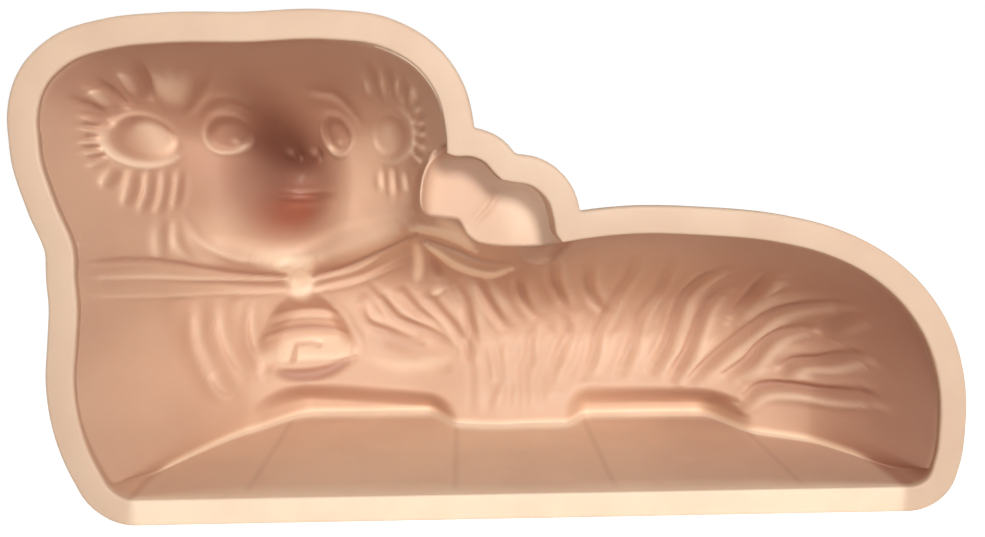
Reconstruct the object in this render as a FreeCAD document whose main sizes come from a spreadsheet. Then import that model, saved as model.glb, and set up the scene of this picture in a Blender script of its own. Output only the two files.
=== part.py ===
import FreeCAD, Part
import math
import os

# Half mould for a lying lamb, in silicone, standing on its base with its mouth towards -Y.
# Behind the flat rim the wall follows the lamb: trunk, head, muzzle, bow, legs and bell.
# A steel hoop in the rim keeps the soft mouth in shape.
# Millimetres. X runs along the lamb from head to tail, Y into the mould, Z up.

doc = FreeCAD.newDocument("lamb_mould")
sheet = doc.addObject("Spreadsheet::Sheet", "sizes")

SIZES = {
    "mouth_length": 282.4,
    "mouth_height": 142.6,
    "rim_width": 8.8,
    "rim_thickness": 5.0,
    "wall": 3.0,
    "edge_depth": 3.0,
    "body_depth": 81.0,
    "chest_depth": 86.0,
    "head_depth": 68.0,
    "muzzle_depth": 93.0,
    "bow_depth": 15.5,
    "front_leg_depth": 86.0,
    "front_leg_high": 5.0,
    "front_leg_low": 1.0,
    "front_leg_left": 22.0,
    "front_leg_right": 14.0,
    "rear_leg_depth": 80.0,
    "rear_leg_high": 3.5,
    "rear_leg_low": 3.5,
    "rear_leg_left": 12.0,
    "rear_leg_right": 16.0,
    "leg_fall": 12.0,
    "belly_tuck": 13.0,
    "tuck_height": 36.0,
    "neck_rise": 13.0,
    "bell_relief": 8.0,
    "leaf_relief": 30.0,
    "saddle_relief": 50.0,
    "wool_width": 4.8,
    "wool_relief": 1.8,
    "wool_wave": 1.8,
    "wool_wave_length": 28.0,
    "fold_width": 4.0,
    "fold_relief": 1.2,
    "ribbon_width": 5.0,
    "ribbon_relief": 1.4,
    "tail_width": 4.5,
    "tail_relief": -1.6,
    "dish_relief": 1.8,
    "mark_fade": 6.0,
    "floor_fade": 3.0,
    "body_blend": 12.0,
    "face_blend": 16.0,
    "neck_blend": 24.0,
    "crease_blend": 3.0,
    "corner_blend": 24.0,
    "corner_height": 5.0,
    "grid_pitch": 3.5,
    "edge_pitch": 2.4,
    "rib_thickness": 3.0,
    "rib_setback": 8.0,
    "wire_diameter": 2.4,
    "wire_clearance": 0.1,
    "wire_bend": 3.0,
    "wire_gap": 1.0,
    "sleeve_wall": 0.6,
    "sleeve_length": 16.0,
    "overrun": 10.0,
    "flat_limit": 0.01,
}
for row, (alias, value) in enumerate(SIZES.items(), start=1):
    sheet.set(f"A{row}", alias)
    sheet.set(f"B{row}", str(value))
    sheet.setAlias(f"B{row}", alias)
doc.recompute()


def size(alias):
    return float(getattr(sheet, alias))


half_length = size("mouth_length") / 2
mouth_height = size("mouth_height")
rim_width = size("rim_width")
wall = size("wall")
overrun = size("overrun")
floor_z = rim_width
total_depth = size("muzzle_depth") + wall
rim_y = -total_depth / 2

# Mouth outline
# Points are shares of half the mouth length across and of the mouth height up from the floor.
# The head side runs from the notch above the bow over both ears and down the chest.
# The back runs from the rump up to the notch under the bow, and the bow has two loops.
HEAD_SHARES = [
    (-0.141, 0.767), (-0.145, 0.830), (-0.160, 0.886), (-0.203, 0.945), (-0.271, 0.984),
    (-0.388, 1.000), (-0.558, 0.994), (-0.729, 0.991), (-0.835, 0.979), (-0.923, 0.950),
    (-0.976, 0.900), (-0.998, 0.829), (-0.997, 0.759), (-0.975, 0.664), (-0.943, 0.562),
    (-0.945, 0.496), (-0.944, 0.443), (-0.953, 0.359), (-0.964, 0.268), (-0.955, 0.159),
    (-0.925, 0.068), (-0.901, 0.024), (-0.854, 0.000),
]
BACK_SHARES = [
    (0.940, 0.000), (0.978, 0.015), (0.995, 0.061), (1.000, 0.135), (0.990, 0.240),
    (0.959, 0.332), (0.895, 0.426), (0.810, 0.496), (0.709, 0.544), (0.596, 0.572),
    (0.421, 0.589), (0.266, 0.592), (0.114, 0.574),
]
REAR_LOOP_SHARES = [
    (0.114, 0.574), (0.100, 0.589), (0.092, 0.625), (0.076, 0.669), (0.043, 0.697),
    (0.001, 0.705), (-0.021, 0.709),
]
FRONT_LOOP_SHARES = [
    (-0.021, 0.709), (-0.038, 0.725), (-0.061, 0.749), (-0.092, 0.760), (-0.122, 0.760),
    (-0.141, 0.767),
]


LEVEL = FreeCAD.Vector(1, 0, 0)


def place(shares, y):
    return [FreeCAD.Vector(across * half_length, y, floor_z + up * mouth_height)
            for across, up in shares]


def mirrored(tangent, start, end):
    chord = (end - start).normalize()
    return chord * (2 * tangent.dot(chord)) - tangent


def arc_edge(start, tangent, end):
    chord = end - start
    across = tangent - chord * (tangent.dot(chord) / chord.dot(chord))
    if across.Length * chord.Length < size("flat_limit"):
        return Part.makeLine(start, end)
    along = tangent.dot(chord) / chord.Length
    rise = across * (chord.Length / 2 / (1 + along))
    return Part.Arc(start, start + chord / 2 + rise, end).toShape()


def arc_pair(start, tangent, end, end_tangent):
    chord = end - start
    both = tangent + end_tangent
    turn = 2 * (1 - tangent.dot(end_tangent))
    lean = chord.dot(both)
    reach = chord.dot(chord) / (lean + math.sqrt(lean * lean + turn * chord.dot(chord)))
    joint = (start + end + (tangent - end_tangent) * reach) / 2
    middle = mirrored(tangent, start, joint)
    return [arc_edge(start, tangent, joint), arc_edge(joint, middle, end)]


def arc_chain(shares, y, start_tangent=None, end_tangent=None):
    points = place(shares, y)
    tangents = []
    for before, here, after in zip(points, points[1:], points[2:]):
        back, ahead = here - before, after - here
        tangent = back / back.dot(back) + ahead / ahead.dot(ahead)
        tangents.append(tangent.normalize())
    first = start_tangent or mirrored(tangents[0], points[0], points[1])
    last = end_tangent or mirrored(tangents[-1], points[-2], points[-1])
    tangents = [first] + tangents + [last]
    edges = []
    for number in range(len(points) - 1):
        edges += arc_pair(points[number], tangents[number], points[number + 1], tangents[number + 1])
    return edges


def mouth_wire(y):
    base_ends = place([HEAD_SHARES[-1], BACK_SHARES[0]], y)
    return Part.Wire(
        arc_chain(HEAD_SHARES, y, end_tangent=LEVEL)
        + [Part.makeLine(*base_ends)]
        + arc_chain(BACK_SHARES, y, start_tangent=LEVEL)
        + arc_chain(REAR_LOOP_SHARES, y)
        + arc_chain(FRONT_LOOP_SHARES, y))


def mouth_prism(grow, y, depth):
    wire = mouth_wire(y)
    if grow:
        wire = wire.makeOffset2D(grow, 0)
    return Part.Face(wire).extrude(FreeCAD.Vector(0, depth, 0))


# Depth of the hollow
# Each body is a dome over a superellipse. A dome has a centre, half sizes to the left, to the right,
# down and up (shares of half the mouth length and of the mouth height), and two powers: one rounds
# its outline, the other its flank.
DOME_SHARES = {
    "back": ((0.212, 0.180), (0.900, 0.850, 2.000, 0.450), 2.6, 2.7, "body_depth"),
    "chest": ((-0.319, 0.324), (0.700, 0.640, 2.000, 0.330), 2.2, 2.6, "chest_depth"),
    "head": ((-0.581, 0.724), (0.490, 0.480, 0.385, 0.330), 2.6, 2.3, "head_depth"),
    "muzzle": ((-0.581, 0.704), (0.270, 0.270, 0.370, 0.310), 2.0, 1.7, "muzzle_depth"),
    "bow": ((-0.067, 0.625), (0.140, 0.210, 0.200, 0.165), 4.0, 14.0, "bow_depth"),
}
# The legs lie along the floor between these shares of half the mouth length. The bell hangs under the
# head: its lip, half its width, and its reach up and down. The leaf of the bow cuts into the cheek and
# the bow itself into the back: centres and half sizes. The belly is tucked in about a centre, over a
# reach to both sides. The neck rises to the left of the head's middle, over a reach.
LEG_SHARES = {
    "front_leg": (-0.560, -0.220),
    "rear_leg": (0.270, 0.600),
}
BELL_SHARES = ((-0.567, 0.222), (0.145, 0.150, 0.070))
LEAF_SHARES = ((-0.120, 0.670), (0.110, 0.125))
SADDLE_SHARES = ((0.020, 0.640), (0.140, 0.102))
TUCK_SHARES = (0.064, 0.780)
NECK_SHARES = (-0.581, 0.370)
# Steepness of the wall just behind the mouth, firmness of the edges of bell, leaf, saddle and bow, and
# how much narrower the bell is at its top.
EDGE_SLOPE = 2.8
BELL_FIRMNESS = 2.0
LEAF_FIRMNESS = 3.0
SADDLE_FIRMNESS = 3.0
BOW_FIRMNESS = 2.6
BELL_TAPER = 0.5
size_of = {alias: size(alias) for alias in SIZES}


def dome(across, up, name):
    centre, reach, round_power, flank_power, depth_name = DOME_SHARES[name]
    across -= centre[0]
    up -= centre[1]
    across /= reach[1] if across > 0 else reach[0]
    up /= reach[3] if up > 0 else reach[2]
    radius = (abs(across) ** round_power + abs(up) ** round_power) ** (1 / round_power)
    return size_of[depth_name] * (1 - min(radius, 1) ** flank_power)


def ease(value):
    value = min(max(value, 0), 1)
    return value * value * (3 - 2 * value)


def smooth_max(first, second, blend):
    gap = max(blend - abs(first - second), 0) / blend
    return max(first, second) + gap * gap * blend / 4


def edge_samples():
    points = mouth_wire(0).discretize(Distance=size("edge_pitch"))
    samples = []
    for before, here, after in zip(points, points[1:], points[2:]):
        if here.z > floor_z + size("corner_height"):
            run = after - before
            samples.append((here.x, here.z, run.x / run.Length, run.z / run.Length))
    return samples


EDGE_SAMPLES = edge_samples()


def from_edge(x, z):
    # how far inside the mouth outline a place is, not counting the base and the corners beside it
    here_x, here_z, run_x, run_z = min(
        EDGE_SAMPLES, key=lambda sample: (x - sample[0]) ** 2 + (z - sample[1]) ** 2)
    inward = (z - here_z) * run_x - (x - here_x) * run_z
    along = abs((x - here_x) * run_x + (z - here_z) * run_z)
    return math.copysign(math.hypot(inward, max(along - size_of["edge_pitch"], 0)), inward)


def with_leg(depth, across, z, name):
    start, end = LEG_SHARES[name]
    left = (start - across) * half_length / size_of[name + "_left"]
    right = (across - end) * half_length / size_of[name + "_right"]
    along = min(max((across - start) / (end - start), 0), 1)
    high, low = size_of[name + "_high"], size_of[name + "_low"]
    above = (z - floor_z - high - (low - high) * along) / size_of["leg_fall"]
    away = math.hypot(max(left, right, 0), max(above, 0))
    return depth + max(size_of[name + "_depth"] - depth, 0) * (1 - ease(away))


def bell(across, up):
    centre, reach = BELL_SHARES
    rise = (up - centre[1]) / (reach[1] if up > centre[1] else reach[2])
    half = reach[0] * (1 - BELL_TAPER * min(max(rise, 0), 1))
    away = (abs((across - centre[0]) / half) ** 4 + max(rise, 0) ** 4) ** 0.25
    return size_of["bell_relief"] * ease(BELL_FIRMNESS * (1 - away)) * ease(1 + min(rise, 0))


def saddle(across, up):
    centre, reach = SADDLE_SHARES
    away = (((across - centre[0]) / reach[0]) ** 4 + ((up - centre[1]) / reach[1]) ** 4) ** 0.25
    return size_of["saddle_relief"] * ease(SADDLE_FIRMNESS * (1 - away))


def leaf(across, up):
    centre, reach = LEAF_SHARES
    away = math.hypot((across - centre[0]) / reach[0], (up - centre[1]) / reach[1])
    return size_of["leaf_relief"] * ease(LEAF_FIRMNESS * (1 - away))


def depth_at(x, z):
    z = max(z, floor_z)
    across = x / half_length
    up = (z - floor_z) / mouth_height
    lift = ease((NECK_SHARES[0] - across) / NECK_SHARES[1]) * size_of["neck_rise"] / mouth_height
    trunk = smooth_max(dome(across, up, "back"), dome(across, up - lift, "chest"), size_of["body_blend"])
    beside = abs((across - TUCK_SHARES[0]) / TUCK_SHARES[1])
    low = 1 - ease((z - floor_z) / size_of["tuck_height"])
    trunk -= size_of["belly_tuck"] * (1 - min(beside, 1) ** 4) * low
    for name in LEG_SHARES:
        trunk = with_leg(trunk, across, z, name)
    trunk += bell(across, up) - saddle(across, up)
    head = smooth_max(dome(across, up, "head"), dome(across, up, "muzzle"), size_of["face_blend"])
    body = smooth_max(trunk, head - leaf(across, up), size_of["neck_blend"])
    bow = dome(across, up, "bow")
    body = smooth_max(body, bow, size_of["crease_blend"])
    side = max(size_of["edge_depth"] + EDGE_SLOPE * from_edge(x, z), BOW_FIRMNESS * bow)
    return -smooth_max(-body, -side, size_of["corner_blend"])


# Marks pressed into the hollow
# Lines for the folds of the wool, the folds of the breast, the ribbon and its loose tail, which stands
# up instead of in. They pass through shares of half the mouth length and of the mouth height, and those
# of the wool sway in even waves. The ears, the eyes and the knot are shallow dishes: centres and half
# sizes.
MARK_SHARES = {
    "wool": [
        ((-0.17, 0.44), (-0.13, 0.36), (-0.07, 0.25), (-0.04, 0.11)),
        ((-0.06, 0.44), (-0.05, 0.36), (0.01, 0.26), (0.01, 0.11)),
        ((0.04, 0.47), (0.06, 0.36), (0.06, 0.23), (0.03, 0.11)),
        ((0.14, 0.49), (0.11, 0.37), (0.14, 0.25), (0.06, 0.11)),
        ((0.23, 0.49), (0.25, 0.36), (0.21, 0.23), (0.12, 0.11)),
        ((0.35, 0.51), (0.30, 0.37), (0.28, 0.24), (0.19, 0.11)),
        ((0.45, 0.51), (0.38, 0.37), (0.36, 0.25), (0.27, 0.13)),
        ((0.55, 0.49), (0.50, 0.36), (0.45, 0.25), (0.38, 0.15)),
        ((0.61, 0.46), (0.56, 0.36), (0.53, 0.26), (0.47, 0.16)),
        ((0.70, 0.44), (0.64, 0.35), (0.59, 0.24), (0.52, 0.16)),
        ((0.80, 0.37), (0.72, 0.31), (0.66, 0.24), (0.59, 0.16)),
        ((0.86, 0.31), (0.77, 0.27), (0.70, 0.20), (0.64, 0.15)),
        ((0.92, 0.25), (0.84, 0.21), (0.74, 0.17), (0.68, 0.13)),
        ((0.92, 0.16), (0.84, 0.14), (0.74, 0.11), (0.67, 0.07)),
    ],
    "fold": [
        ((-0.84, 0.39), (-0.83, 0.29), (-0.79, 0.19)),
        ((-0.74, 0.36), (-0.73, 0.27), (-0.69, 0.18)),
        ((-0.40, 0.34), (-0.35, 0.27), (-0.25, 0.23)),
        ((-0.29, 0.36), (-0.23, 0.29), (-0.16, 0.23)),
        ((-0.33, 0.22), (-0.23, 0.18), (-0.16, 0.15)),
        ((-0.21, 0.34), (-0.14, 0.26), (-0.09, 0.19)),
    ],
    "ribbon": [
        ((-0.97, 0.49), (-0.85, 0.47), (-0.71, 0.42), (-0.57, 0.40), (-0.41, 0.44), (-0.25, 0.53)),
    ],
    "tail": [
        ((-0.21, 0.55), (-0.17, 0.51), (-0.11, 0.48), (-0.04, 0.46), (0.02, 0.47)),
    ],
}
MARK_FIRMNESS = {"wool": 1.0, "fold": 1.0, "ribbon": 2.0, "tail": 1.5}
DISH_SHARES = [
    ((-0.881, 0.805), (0.050, 0.055)),
    ((-0.294, 0.811), (0.068, 0.066)),
    ((-0.732, 0.816), (0.059, 0.065)),
    ((-0.443, 0.818), (0.050, 0.063)),
    ((-0.570, 0.415), (0.033, 0.045)),
]
DISH_FIRMNESS = 2.0
MARK_LINES = {
    kind: [[(across * half_length, floor_z + up * mouth_height) for across, up in line] for line in lines]
    for kind, lines in MARK_SHARES.items()
}


def from_line(x, z, line):
    # how far a place is from a run of straight pieces
    gaps = []
    for (start_x, start_z), (end_x, end_z) in zip(line, line[1:]):
        run_x, run_z = end_x - start_x, end_z - start_z
        along = ((x - start_x) * run_x + (z - start_z) * run_z) / (run_x * run_x + run_z * run_z)
        along = min(max(along, 0), 1)
        gaps.append(math.hypot(x - start_x - along * run_x, z - start_z - along * run_z))
    return min(gaps)


def marks_at(x, z):
    across = x / half_length
    up = (z - floor_z) / mouth_height
    waves = (z + x / 2) / size_of["wool_wave_length"]
    waved = x + size_of["wool_wave"] * math.sin(2 * math.pi * waves)
    pressed = 0
    for kind, lines in MARK_LINES.items():
        here = waved if kind == "wool" else x
        gap = min(from_line(here, z, line) for line in lines) / size_of[kind + "_width"]
        pressed += size_of[kind + "_relief"] * ease(MARK_FIRMNESS[kind] * (1 - gap))
    for centre, reach in DISH_SHARES:
        away = math.hypot((across - centre[0]) / reach[0], (up - centre[1]) / reach[1])
        pressed += size_of["dish_relief"] * ease(DISH_FIRMNESS * (1 - away))
    room = ease(from_edge(x, z) / size_of["mark_fade"]) * ease((z - floor_z) / size_of["floor_fade"])
    return pressed * room


def marked_depth(x, z):
    return depth_at(x, z) + marks_at(x, z)


# Surfaces
# The hollow ends in one smooth surface whose poles stand on an even grid. The outside stands off it
# by the wall: each pole rises to the top of a ball of that radius rolled over the depths around it.
def rolled_depth(x, z):
    steps = (-1.0, -0.7, 0.0, 0.7, 1.0)
    best = 0
    for across in steps:
        for up in steps:
            rest = 1 - across * across - up * up
            if rest >= 0:
                best = max(best, depth_at(x + across * wall, z + up * wall) + wall * math.sqrt(rest))
    return best


def beyond(depth_of):
    pitch = size_of["grid_pitch"]
    columns = math.ceil((half_length + rim_width + overrun) / pitch)
    rows = math.ceil((floor_z + mouth_height + rim_width + overrun * 2) / pitch)
    poles = []
    for column in range(-columns, columns + 1):
        line = []
        for row in range(rows + 1):
            x, z = column * pitch, row * pitch - overrun
            line.append(FreeCAD.Vector(x, rim_y + depth_of(x, z), z))
        poles.append(line)
    degree = 3

    def knots(count):
        spans = count - degree
        return [degree + 1] + [1] * (spans - 1) + [degree + 1], list(range(spans + 1))

    across_mults, across_knots = knots(len(poles))
    up_mults, up_knots = knots(len(poles[0]))
    surface = Part.BSplineSurface()
    surface.buildFromPolesMultsKnots(
        poles, across_mults, up_mults, across_knots, up_knots, False, False, degree, degree)
    return surface.toShape().extrude(FreeCAD.Vector(0, total_depth + overrun, 0))


def keep(name, shape):
    feature = doc.addObject("Part::Feature", name)
    feature.Shape = shape
    return feature


reach_back = total_depth + overrun / 2
hollow = keep("hollow", mouth_prism(0, rim_y - overrun, reach_back + overrun).cut(beyond(marked_depth)))
backing = keep("backing", mouth_prism(wall, rim_y, reach_back).cut(beyond(rolled_depth)))
rim_band = keep("rim_band", mouth_prism(rim_width, rim_y, size("rim_thickness")))

# Ribs under the base
# Four ribs carry the base wall on the shelf, level with the foot of the rim.
RIB_SHARES = [-0.610, -0.127, 0.248, 0.694]
ribs = []
for number, share in enumerate(RIB_SHARES, start=1):
    depth = depth_at(share * half_length, floor_z)
    rib = doc.addObject("Part::Box", f"rib_{number}")
    rib.setExpression("Length", "sizes.rib_thickness")
    rib.setExpression("Height", "sizes.rim_width - sizes.wall / 2")
    rib.Width = depth - size("rib_setback")
    rib.Placement.Base = FreeCAD.Vector(share * half_length - size("rib_thickness") / 2, rim_y, 0)
    ribs.append(rib)

# Hoop
# The wire runs along the middle of the rim, eased round the notches of the outline. Its ends meet over
# the base inside a crimped sleeve. The silicone is moulded round both with a hair of clearance.
wire_y = rim_y + size("rim_thickness") / 2
wire_radius = size("wire_diameter") / 2
clearance = size("wire_clearance")
bend = size("wire_bend")
loop = mouth_wire(wire_y).makeOffset2D(rim_width / 2 + bend, 0).makeOffset2D(-bend, 0)
foot = min(loop.Edges, key=lambda edge: edge.CenterOfMass.z)
left_end, right_end = sorted((vertex.Point for vertex in foot.Vertexes), key=lambda point: point.x)
joint = (left_end + right_end) / 2
half_gap = LEVEL * (size("wire_gap") / 2)


open_edges = [edge for edge in loop.Edges if not edge.isSame(foot)]
open_edges.append(Part.makeLine(left_end, joint - half_gap))
open_edges.append(Part.makeLine(right_end, joint + half_gap))
open_path = Part.Wire(Part.__sortEdges__(open_edges))


def swept(radius):
    circle = Part.makeCircle(radius, open_path.OrderedVertexes[0].Point, LEVEL)
    return open_path.makePipeShell([Part.Wire(circle)], True, False)


rim_wire = keep("rim_wire", swept(wire_radius))
channel = keep("channel", swept(wire_radius + clearance))


def barrel(name, radius, length):
    cylinder = doc.addObject("Part::Cylinder", name)
    cylinder.setExpression("Radius", radius)
    cylinder.setExpression("Height", length)
    doc.recompute()
    turn = FreeCAD.Rotation(FreeCAD.Vector(0, 0, 1), LEVEL)
    cylinder.Placement = FreeCAD.Placement(joint - LEVEL * (cylinder.Height.Value / 2), turn)
    return cylinder


BORE = "sizes.wire_diameter / 2 + sizes.wire_clearance"
sleeve_body = barrel("sleeve_body", BORE + " + sizes.sleeve_wall", "sizes.sleeve_length")
sleeve_bore = barrel("sleeve_bore", BORE, "sizes.sleeve_length + 2 * sizes.overrun")
sleeve_room = barrel(
    "sleeve_room", BORE + " + sizes.sleeve_wall + sizes.wire_clearance",
    "sizes.sleeve_length + 2 * sizes.wire_clearance")
wire_sleeve = doc.addObject("Part::Cut", "wire_sleeve")
wire_sleeve.Base = sleeve_body
wire_sleeve.Tool = sleeve_bore

# Silicone body
# Backing, rim and ribs are one moulding. The hollow and the room for the hoop are taken out of it.
moulding = doc.addObject("Part::MultiFuse", "moulding")
moulding.Shapes = [backing, rim_band] + ribs
removed = doc.addObject("Part::MultiFuse", "removed")
removed.Shapes = [channel, sleeve_room]
open_body = doc.addObject("Part::Cut", "open_body")
open_body.Base = moulding
open_body.Tool = hollow
silicone_shell = doc.addObject("Part::Cut", "silicone_shell")
silicone_shell.Base = open_body
silicone_shell.Tool = removed
doc.recompute()

NODES = [silicone_shell, rim_wire, wire_sleeve]
for node in doc.Objects:
    if any(flag in node.State for flag in ("Invalid", "Error")):
        raise RuntimeError(f"{node.Name} did not recompute")
    if hasattr(node, "Shape") and (node.Shape.isNull() or not node.Shape.isValid()):
        raise RuntimeError(f"{node.Name} has no valid shape")
os.makedirs("parts", exist_ok=True)
for node in NODES:
    if len(node.Shape.Solids) != 1:
        raise RuntimeError(f"{node.Name} is not one solid")
    node.Label = node.Name
    node.Shape.exportStep(f"parts/{node.Label}.step")
    print(node.Label, round(node.Shape.Volume), node.Shape.BoundBox)
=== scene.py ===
# %% [markdown]
# A half mould for a lying lamb, in soft silicone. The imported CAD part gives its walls, its rim and the
# steel hoop inside the rim. This script makes the visible silicone over it: the same hollow with the
# lamb's face, wool, ribbon and bell pressed into it, then the materials, the light and the camera.

# %% load the frame
import bpy
import bmesh
import math
import numpy as np
from mathutils import Matrix, Vector
from mathutils.kdtree import KDTree


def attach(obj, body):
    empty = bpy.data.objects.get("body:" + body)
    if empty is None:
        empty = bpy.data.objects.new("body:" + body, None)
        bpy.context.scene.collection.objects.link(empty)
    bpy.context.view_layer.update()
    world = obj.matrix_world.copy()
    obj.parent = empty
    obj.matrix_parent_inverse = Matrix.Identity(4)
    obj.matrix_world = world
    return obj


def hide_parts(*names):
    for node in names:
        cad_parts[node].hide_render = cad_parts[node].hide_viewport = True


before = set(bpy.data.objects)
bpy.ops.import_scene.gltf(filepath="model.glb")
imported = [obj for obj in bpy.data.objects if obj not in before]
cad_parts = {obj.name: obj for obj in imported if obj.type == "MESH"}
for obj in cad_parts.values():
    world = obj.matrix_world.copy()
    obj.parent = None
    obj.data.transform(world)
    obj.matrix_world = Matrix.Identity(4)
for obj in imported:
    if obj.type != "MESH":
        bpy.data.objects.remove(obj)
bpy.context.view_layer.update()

# %% [markdown]
# The mouth outline is drawn as a few points that a smooth curve passes through. Each point is a share:
# of half the mouth's length from the middle, and of its height above the floor of the hollow. Working
# in shares keeps the drawing readable and lets the size be changed in one place.

# %% mouth outline
MM = 0.001
HALF_LENGTH = 141.2
MOUTH_HEIGHT = 142.6
RIM = 8.8
RIM_THICKNESS = 5.0
WALL = 3.0
FLOOR = RIM
RIM_Y = -48.0

HEAD_SHARES = [
    (-0.998, 0.795), (-0.997, 0.759), (-0.975, 0.664), (-0.943, 0.562), (-0.945, 0.496), (-0.944, 0.443),
    (-0.953, 0.359), (-0.964, 0.268), (-0.955, 0.159), (-0.925, 0.068), (-0.901, 0.024), (-0.854, 0.000),
]
CROWN_SHARES = [
    (-0.998, 0.795), (-0.998, 0.829), (-0.976, 0.900), (-0.923, 0.950), (-0.835, 0.979), (-0.729, 0.991),
    (-0.558, 0.994), (-0.388, 1.000), (-0.271, 0.984), (-0.203, 0.945), (-0.160, 0.886), (-0.145, 0.830),
    (-0.141, 0.767),
]
BOW_SHARES = [
    [(-0.141, 0.767), (-0.122, 0.760), (-0.092, 0.760), (-0.061, 0.749), (-0.038, 0.725), (-0.021, 0.709)],
    [(-0.021, 0.709), (0.001, 0.705), (0.043, 0.697), (0.076, 0.669), (0.092, 0.625), (0.100, 0.589),
     (0.114, 0.574)],
]
BACK_SHARES = [
    (0.114, 0.574), (0.266, 0.592), (0.421, 0.589), (0.596, 0.572), (0.709, 0.544), (0.810, 0.496),
    (0.895, 0.426), (0.959, 0.332), (0.990, 0.240), (1.000, 0.135),
]
RUMP_SHARES = [(0.940, 0.000), (0.978, 0.015), (0.995, 0.061), (1.000, 0.135)]
LEVEL = (1.0, 0.0)
UPRIGHT = (0.0, 1.0)


def unit(vector):
    return np.array(vector) / np.linalg.norm(vector)


def placed(shares):
    """places in millimetres for places given in shares of the mouth"""
    return np.array(shares) * (HALF_LENGTH, MOUTH_HEIGHT) + (0, FLOOR)


def curve(shares, count, start=None, end=None):
    """evenly spaced points on a smooth curve through the shares"""
    points = placed(shares)
    steps = np.diff(points, axis=0)
    sizes = np.linalg.norm(steps, axis=1)
    tangents = [unit(a / (a @ a) + b / (b @ b)) for a, b in zip(steps, steps[1:])]
    first, last = unit(steps[0]), unit(steps[-1])
    tangents.insert(0, np.array(start) if start else 2 * (tangents[0] @ first) * first - tangents[0])
    tangents.append(np.array(end) if end else 2 * (tangents[-1] @ last) * last - tangents[-1])
    t = np.linspace(0, 1, 40)[:, None]
    fine = np.vstack([
        (2 * t**3 - 3 * t**2 + 1) * points[i] + (t**3 - 2 * t**2 + t) * sizes[i] * tangents[i]
        + (3 * t**2 - 2 * t**3) * points[i + 1] + (t**3 - t**2) * sizes[i] * tangents[i + 1]
        for i in range(len(sizes))])
    along = np.r_[0, np.cumsum(np.linalg.norm(np.diff(fine, axis=0), axis=1))]
    wanted = np.linspace(0, along[-1], count + 1)
    return np.c_[np.interp(wanted, along, fine[:, 0]), np.interp(wanted, along, fine[:, 1])]


print("mouth", 2 * HALF_LENGTH, "by", MOUTH_HEIGHT, "mm")

# %% [markdown]
# The silicone is built as one patch of stations and rows. A station is a chord across the hollow, from
# a point on the upper edge of the mouth to its partner on the lower edge. The counts below say how many
# stations each run of the outline gets, so that corners fall on a station and the chords stay upright
# along the trunk.

# %% stations
STATIONS = 420
upper_counts = {"crown": 200, "front_loop": 24, "rear_loop": 30, "back": 166}
lower_counts = {"breast": 96, "base": 292, "rump": 32}
BASE_SHARES = [(-0.854, 0.000), (0.940, 0.000)]
BASE_STOPS = ([0, 0.40, 0.62, 1.0], [0, 0.30, 0.50, 1.0])
crown = curve(CROWN_SHARES, upper_counts["crown"], start=UPRIGHT)
front_loop = curve(BOW_SHARES[0], upper_counts["front_loop"])
rear_loop = curve(BOW_SHARES[1], upper_counts["rear_loop"])
back = curve(BACK_SHARES, upper_counts["back"], end=(0.0, -1.0))
upper = np.vstack([crown[:-1], front_loop[:-1], rear_loop[:-1], back])
breast = curve(HEAD_SHARES, lower_counts["breast"], start=(0.0, -1.0), end=LEVEL)
base_at = np.interp(np.linspace(0, 1, lower_counts["base"] + 1), *BASE_STOPS)
base_ends = placed(BASE_SHARES)
base = base_ends[0] + (base_ends[1] - base_ends[0]) * base_at[:, None]
rump = curve(RUMP_SHARES, lower_counts["rump"], start=LEVEL, end=UPRIGHT)
lower = np.vstack([breast[:-1], base[:-1], rump])
print("stations", len(upper) - 1, len(lower) - 1)
mouth = np.vstack([lower[:-1], upper[:0:-1]])
print("mouth points", len(mouth))

# %% [markdown]
# The hollow is one smooth depth over the mouth. Each body part is a dome, given by its centre, its reach
# to the left, right, bottom and top, two powers for how square it is, and how deep it goes. The same
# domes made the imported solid, so the visible silicone lies on it.

# %% domes
DOME_SHARES = {
    "back": ((0.212, 0.180), (0.900, 0.850, 2.000, 0.450), 2.6, 2.7, 81.0),
    "chest": ((-0.319, 0.324), (0.700, 0.640, 2.000, 0.330), 2.2, 2.6, 86.0),
    "head": ((-0.581, 0.724), (0.490, 0.480, 0.385, 0.330), 2.6, 2.3, 68.0),
    "muzzle": ((-0.581, 0.704), (0.270, 0.270, 0.370, 0.310), 2.0, 1.7, 93.0),
    "bow": ((-0.067, 0.625), (0.140, 0.210, 0.200, 0.165), 4.0, 14.0, 15.5),
}
LEG_SHARES = {
    "front": ((-0.560, -0.220), (5.0, 1.0), (22.0, 14.0), 86.0),
    "rear": ((0.270, 0.600), (3.5, 3.5), (12.0, 16.0), 80.0),
}
BELL_SHARES = ((-0.567, 0.222), (0.145, 0.150, 0.070))
LEAF_SHARES = ((-0.120, 0.670), (0.110, 0.125))
SADDLE_SHARES = ((0.020, 0.640), (0.140, 0.102))
TUCK_SHARES = (0.064, 0.780)
NECK_SHARES = (-0.581, 0.370)
NECK_LIFT = 13.0
TUCK_DEPTH = 13
TUCK_HEIGHT = 36
LEG_ROUNDING = 12
BELL_DEPTH = 8
SADDLE_CUT = 50
LEAF_CUT = 30
BODY_JOIN = 24


def dome(a, u, name):
    """how deep one rounded body part reaches at a place given in shares"""
    c, r, rp, fp, depth = DOME_SHARES[name]
    a, u = a - c[0], u - c[1]
    a = a / np.where(a > 0, r[1], r[0])
    u = u / np.where(u > 0, r[3], r[2])
    rad = (np.abs(a) ** rp + np.abs(u) ** rp) ** (1 / rp)
    return depth * (1 - np.minimum(rad, 1) ** fp)


def ease(v):
    """from 0 to 1 with a soft start and a soft end"""
    v = np.clip(v, 0, 1)
    return v * v * (3 - 2 * v)


def smooth_max(a, b, k):
    """the larger of two depths, rounded over k where they cross"""
    g = np.maximum(k - np.abs(a - b), 0) / k
    return np.maximum(a, b) + g * g * k / 4


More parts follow.
